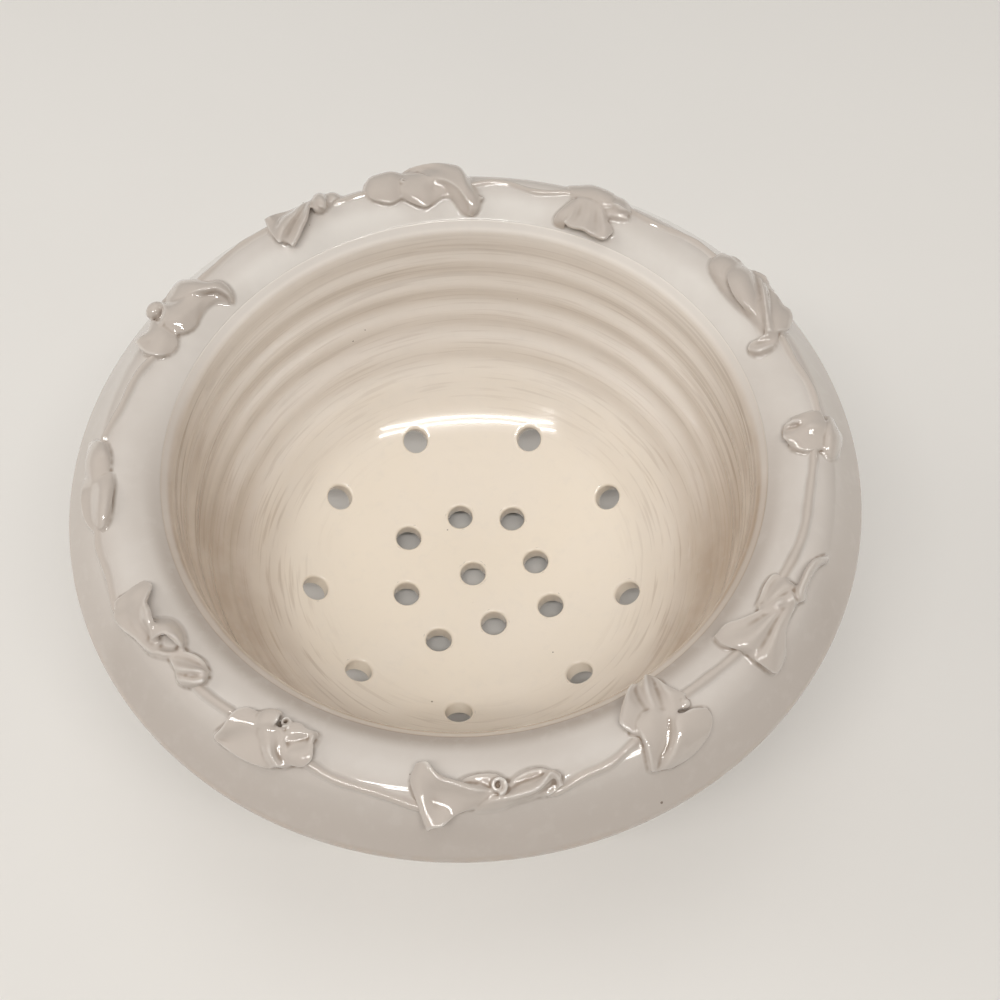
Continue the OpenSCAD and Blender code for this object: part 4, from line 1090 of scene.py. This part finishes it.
# the rim's glaze at the foot of a leaf: painted shade in folds, where glaze also pools, as strong as depth
# sets;
# paler along ridges and margins, partly thinner glaze and partly a painted highlight
def leafGlaze(name, depth):
    kit = Kit(name)
    place, x, y, z, radius = around(kit)
    lift, fold = kit.attribute("lift"), kit.attribute("fold")
    patchy = kit.between(kit.noise(place, 150, 3.0), 0.4, 0.65)
    body = kit.mix(patchy * 0.35, glazeLook["leaf"], glazeLook["rimGreyAndShade"])
    tone = kit.mix(kit.between(lift, 0.05, 0.7), rimTone(kit, place, y, radius), body)
    # painted shade in folds and hollows, where glaze also pools; weaker on the far side
    poolAndShade = kit.between(fold, 0.001, 0.014) * (1 - 0.5 * kit.between(y, 0.0, 0.06))
    tone = kit.mix(poolAndShade * depth, tone, glazeLook["poolAndShade"])
    # paler on ridges and margins: partly thinner glaze, partly a painted highlight
    sharp = kit.between(fold, -0.004, -0.026) * kit.between(lift, 0.3, 0.8)
    tone = specked(kit, place, kit.mix(sharp * 0.75, tone, glazeLook["ridge"]))
    rough = 0.035 + 0.03 * kit.noise(place, 200, 2.0)
    waves = kit.bump(kit.noise(place, 190, 1.0), 0.5, 0.0004, glazeSkin(kit, place))
    return kit.finish(tone, rough, waves, 0.9)


# cream glaze inside: pale on the floor, tan in the grooves and in fine lines near the lip, and tan up the
# near wall as painted shade, where the fine lines are stronger too. The outside has the rim's glaze
def bowlGlaze():
    kit = Kit("bowlGlaze")
    place, x, y, z, radius = around(kit)
    cloud = kit.noise(place, 30, 4.0, 0.55)
    fine = kit.noise(place, 260, 3.0, 0.6)
    up = kit.between(z, 0.010, 0.045)
    tone = kit.mix(up, glazeLook["floorTone"], glazeLook["inside"])
    angle = kit.sum("ARCTAN2", y, x)
    turns = (0.0788 - z) / 0.0104 + angle / (2 * pi) - 0.25
    band = kit.sum("COSINE", turns * (2 * pi), 0.0) * -0.5 + 0.5
    wall = kit.between(z, 0.013, 0.026) * (1 - kit.between(z, 0.0745, 0.0785))
    tone = kit.mix(band * wall * 0.15, tone, glazeLook["groove"])
    # painted shade: the near side of the wall darker and tan
    near = kit.between(y + kit.sum("ABSOLUTE", x, 0.0) * -0.35, 0.030, -0.050)
    high = kit.between(z, 0.014, 0.038)
    tone = kit.mix(near * high * 0.95, tone, glazeLook["groove"])
    across, along = x / radius, y / radius
    lines = kit.noise(kit.vector(across * 3.0, along * 3.0, z * 1100 + radius * 300), 1.0, 2.0)
    tone = kit.mix(kit.between(lines, 0.52, 0.70) * wall * (0.16 + 0.34 * near), tone, glazeLook["groove"])
    belowLip = kit.between(z, 0.046, 0.062) * (1 - kit.between(z, 0.0762, 0.0780))
    strokes = kit.noise(kit.vector(across * 1.3, along * 1.3, z * 620), 1.0, 1.0)
    strokes = kit.between(strokes, 0.53, 0.60) * belowLip
    tone = kit.mix(strokes * (0.10 + 0.65 * near), tone, glazeLook["line"])
    tone = kit.mix(kit.between(cloud, 0.40, 0.70) * 0.22, tone, glazeLook["inside"])
    lip = kit.between(z, 0.0788, 0.0798) * (1 - kit.between(radius, 0.0748, 0.0754))
    tone = kit.mix(lip * 0.45, tone, glazeLook["crown"])
    tone = kit.mix(kit.between(fine, 0.5, 0.75) * 0.10, tone, glazeLook["crown"])
    shell = kit.mix(kit.between(cloud, 0.38, 0.66) * 0.4, glazeLook["rim"], glazeLook["rimGreyAndShade"])
    tone = specked(kit, place, kit.mix(kit.attribute("outside"), tone, shell))
    rough = 0.10 + 0.06 * kit.noise(place, 80, 3.0)
    return kit.finish(tone, rough, glazeSkin(kit, place), 0.6)


# glaze down the sides of the foot, wiped off its bearing face, where the bare clay is rough and warm
def footGlaze():
    kit = Kit("footGlaze")
    place, x, y, z, radius = around(kit)
    grain = kit.noise(place, 900, 4.0, 0.7)
    edge = z + (kit.noise(place, 130, 3.0) - 0.5) * 0.0012
    glazed = kit.between(edge, 0.0010, 0.0015)
    bare = kit.mix(kit.between(grain, 0.4, 0.65), glazeLook["foot"], glazeLook["clay"])
    tone = specked(kit, place, kit.mix(glazed, bare, glazeLook["rimGreyAndShade"]))
    return kit.finish(tone, 0.78 - 0.62 * glazed, kit.bump(grain * (1 - glazed), 0.25, 0.0002))


# thrown bowl, rim and foot

# rings of points, one for each radius and height of a line
def carriedRound(line, angles):
    return np.array([spun(x, angles, 0 * angles + z) for x, z in line])


# closed section carried round the axis
def turnedMesh(name, section, count, flip=False):
    rings = carriedRound(section, fullTurn(count))
    n, m = rings.shape[:2]
    faces = gridFaces(n + 1, m, 0, True) % (n * m)
    clay = Clay()
    clay.add(rings, faces[:, ::-1] if flip else faces)
    return clay.mesh(name, weldWithin)


# where the bowl's clay runs into the rim, as radius and height: from the lip, and by a fillet under the rim
# that meets the outside wall a little below the lip
bowlJoins = dict(lipShares=(0.3, 0.6, 0.88, 1.0), overrun=0.02, fromLip=[(75.9, 80.3), (77.2, 78.6)],
                 inRim=(81.5, 78.6), filletStart=(82.6, 77.55), filletCorner=(78.2, 75.6), below=3.4)


# points at shares of the way from one point to another
def towards(point, goal, shares):
    return [[start * (1 - k) + end * k for start, end in zip(point, goal)] for k in shares]


# lip of the bowl as radius and height: a round turn, a bevel to the crease and a way into the rim's clay
def lipLine():
    q, j = bowlShape, bowlJoins
    line = []
    for a in np.linspace(q["wallTurn"], q["bevel"], 6)[1:]:
        line.append((q["lip"] + q["lipCurve"] * (math.sin(q["wallTurn"]) - math.sin(a)),
                     curves["lipHeight"] + q["lipCurve"] * (math.cos(a) - math.cos(q["wallTurn"]))))
    crease = (rimShape["crease"] + j["overrun"], curves["creaseHeight"] + j["overrun"])
    return line + towards(line[-1], crease, j["lipShares"]) + j["fromLip"]


# inside and outside sheets of the floor with the holes left out, walls, lip and hole walls
def throwBowl(material):
    q, j = bowlShape, bowlJoins
    axes = holeAxes()
    angles = fullTurn(q["around"])
    joinRun = float(np.interp(q["join"], curves["x"], curves["run"]))
    clay = Clay()
    points, faces = floorSheet(axes, joinRun, q["floorNet"], inBowl, False)
    clay.add(points, faces)
    print("inside floor", len(points), "points")
    points, faces = floorSheet(axes, joinRun, q["underNet"], underBowl, True)
    clay.add(points, faces[:, ::-1])
    print("underside", len(points), "points")
    top = curves["ends"][4]
    up = np.linspace(joinRun, top, int((top - joinRun) / q["wallNet"]))
    inside = np.array([inBowl(np.full(len(angles), run), angles) for run in up])
    down = np.linspace(top - j["below"], joinRun, q["outsideRows"])
    outside = np.array([underBowl(np.full(len(angles), run), angles) for run in down])
    k = np.linspace(0, 1, 12)[:-1, None]
    start, corner = np.array(j["filletStart"]), np.array(j["filletCorner"])
    end = np.array([radiusOf(outside[0, 0]), outside[0, 0, 2]])
    fillet = np.concatenate([[j["inRim"]], (1 - k) ** 2 * start + 2 * k * (1 - k) * corner + k * k * end])
    lip = carriedRound(lipLine(), angles)
    clay.grid(np.concatenate([inside, lip, carriedRound(fillet, angles), outside]), True)
    for axis in axes:
        clay.grid(holeWall(axis))
    mesh = clay.mesh("thrownBowl", q["weld"])
    print("bowl", len(mesh.vertices), "points")
    nodes = ["bowl_floor", "bowl_belly", "bowl_wall"]
    finishPiece(mesh, material, nodes, dict(outside=outsideShare(mesh)))


# how far each point of the bowl is on its outside, where the clay faces outwards or down
def outsideShare(mesh):
    points = meshPoints(mesh)
    normal = movedNormals(mesh, points)
    wide = radiusOf(points)
    outward = (normal[:, :2] * points[:, :2]).sum(1) / (wide + 1e-9)
    onWall = (wide > bowlShape["join"]) & (points[:, 2] < curves["lipHeight"])
    return np.maximum(smoothStep(outward, 0.1, 0.4) * onWall, smoothStep(-normal[:, 2], 0.2, 0.6))


# points on an arc, from the rim's upward direction towards its outside
def arc(centre, curve, turn):
    return np.array(centre) + curve * np.stack([np.sin(turn), np.cos(turn)], -1)


# closed section of the rim carried round: crown curves, slope, rounded edge, underside, seam to the bowl
def turnRim(material):
    q = rimShape
    crease = -q["creaseTurn"] * q["innerCurve"]
    edgeTop = q["edge"] + q["edgeCurve"] * math.sin(q["slope"])
    slopeRadius = q["crown"] + q["outerCurve"] * math.sin(q["slope"])
    slopeEnd = q["slope"] * q["outerCurve"] + (edgeTop - slopeRadius) / math.cos(q["slope"])
    across = np.concatenate([[crease], np.linspace(crease + q["creaseStep"], slopeEnd, 58)])
    radius, height, _, _ = rimSection(across)
    edgeHeight = height[-1] - q["edgeCurve"] * math.cos(q["slope"])
    bend = np.linspace(q["slope"], q["slope"] + pi, 15)[1:]
    edge = arc((q["edge"], edgeHeight), q["edgeCurve"], bend)
    turn = np.linspace(q["slope"], 0, 8)
    outer = arc((q["crown"], q["height"] - q["outerCurve"]), q["outerCurve"] - q["thick"], turn)
    k = np.linspace(0, 1, 12)[1:-1, None]
    slope = edge[-1] * (1 - k) + outer[0] * k
    inner = q["innerCurve"] - q["thick"]
    turn = -np.linspace(0, math.asin((q["crown"] - q["seam"]) / inner), 9)[1:]
    seam = arc((q["crown"], q["height"] - q["innerCurve"]), inner, turn)
    section = np.concatenate([np.stack([radius, height], -1), edge, slope, outer, seam])
    mesh = turnedMesh("rimBand", section, q["around"])
    mesh.vertices.foreach_set("co", sway(meshPoints(mesh)).ravel())
    print("rim", len(mesh.vertices), "points")
    finishPiece(mesh, material, ["rim"])


# flareIn and flareOut run from the foot's sides up into the underside, out from each side and up
footShape = dict(outer=40.5, wide=5.5, curve=1.2, around=256,
                 flareIn=[(-1.1, 5.6), (-0.45, 4.35), (-0.1, 3.6)],
                 flareOut=[(0.15, 4.4), (0.7, 5.6), (1.6, 6.9), (0.6, 8.4)])


# foot ring: rounded bearing face and sides that flare into the underside
def turnFoot(material):
    q = footShape
    bend = np.linspace(0, pi / 2, 7)
    inner, outer = np.array([q["outer"] - q["wide"], 0]), np.array([q["outer"], 0])
    section = [inner + np.array(q["flareIn"]),
               inner + q["curve"] * np.stack([1 - np.cos(bend), 1 - np.sin(bend)], -1),
               outer - q["curve"] * np.stack([1 - np.sin(bend), np.cos(bend) - 1], -1),
               outer + np.array(q["flareOut"])]
    mesh = turnedMesh("footRing", np.concatenate(section), q["around"], True)
    finishPiece(mesh, material, ["foot_ring"])


throwBowl(bowlGlaze())
turnRim(rimGlaze())
turnFoot(footGlaze())
leafMaterial = leafGlaze("leafGlaze", 0.85)
vineMaterial = leafGlaze("vineGlaze", 0.4)
for row in vineRows:
    layVine("vine%d" % row["vine"], row, vineMaterial)
print("vines laid")
for k, cluster in clusters.items():
    rows = [row for row in leafNotes if row["leaf"][:-1] == str(k)]
    buds = [row for row in budRows if row["bud"].split("_")[1] == str(k)]
    nodes = sorted({"leaf_" + row["leaf"] for row in rows}) + [row["bud"] for row in buds]
    growCluster("ivyCluster%d" % k, cluster, rows, buds, nodes, leafMaterial)


# floor, lamps and camera

studio = dict(floor=3, floorTone=(0.80, 0.775, 0.74), patch=0.965,
              sky=(1.0, 0.985, 0.965), skyStrength=0.28, lampTone=(1.0, 0.985, 0.96))


def floorMaterial():
    kit = Kit("paleFloor")
    place = kit.node("TexCoord", None, None, 3)
    patchy = kit.between(kit.noise(place, 6, 4.0), 0.35, 0.7)
    darker = tuple(k * studio["patch"] for k in studio["floorTone"])
    tone = kit.mix(patchy * 0.5, studio["floorTone"], darker)
    return kit.finish(tone, 0.55, kit.bump(kit.noise(place, 90, 4.0), 0.05, 0.0005))


half = studio["floor"]
floorMesh = bpy.data.meshes.new("floor")
corners = [(-half, -half, 0), (half, -half, 0), (half, half, 0), (-half, half, 0)]
floorMesh.from_pydata(corners, [], [(0, 1, 2, 3)])
floorMesh.materials.append(floorMaterial())
floor = bpy.data.objects.new("floor", floorMesh)
scene.collection.objects.link(floor)

world = bpy.data.worlds.new("studio")
world.use_nodes = True
world.node_tree.nodes["Background"].inputs["Color"].default_value = (*studio["sky"], 1)
world.node_tree.nodes["Background"].inputs["Strength"].default_value = studio["skyStrength"]
scene.world = world

# place and size in metres, the height that each lamp aims at, and whether the glaze reflects it
lamps = {
    "windowLeft": dict(place=(-0.95, 0.25, 0.62), aim=0.06, size=(0.70, 0.50), watts=3.4, seen=False),
    "windowRight": dict(place=(0.90, 0.45, 0.66), aim=0.06, size=(0.70, 0.50), watts=1.6, seen=False),
    "ceiling": dict(place=(0.0, 0.20, 1.15), aim=0.05, size=(0.60, 0.60), watts=1.6, seen=False),
    "tubeOne": dict(place=(0.0, -0.40, 1.07), aim=0.05, size=(1.20, 0.024), watts=3.5, seen=True),
    "tubeTwo": dict(place=(0.0, -0.48, 1.02), aim=0.05, size=(1.20, 0.024), watts=3.5, seen=True)}


def standAt(item, right, up, back, place):
    rows = [[*row, p] for row, p in zip(np.stack([right, up, back], 1), place)]
    item.matrix_world = Matrix(rows + [[0, 0, 0, 1]])


for name, q in lamps.items():
    lamp = bpy.data.lights.new(name, "AREA")
    lamp.shape = "RECTANGLE"
    lamp.size, lamp.size_y = q["size"]
    lamp.energy = q["watts"]
    lamp.color = studio["lampTone"]
    item = bpy.data.objects.new(name, lamp)
    item.visible_glossy = q["seen"]
    away = np.array(q["place"]) - (0, 0, q["aim"])
    away = away / np.linalg.norm(away)
    right = np.cross((0, 0, 1), away)
    right = right / np.linalg.norm(right)
    standAt(item, right, np.cross(away, right), away, q["place"])
    scene.collection.objects.link(item)

ahead, right, up = viewAxes()
lens = bpy.data.cameras.new("camera")
lens.sensor_width = view["sensor"]
lens.lens = view["lens"]
lens.clip_start = view["clip"]
camera = bpy.data.objects.new("camera", lens)
standAt(camera, right, up, -ahead, np.array(view["place"]) * mm)
scene.collection.objects.link(camera)
scene.camera = camera
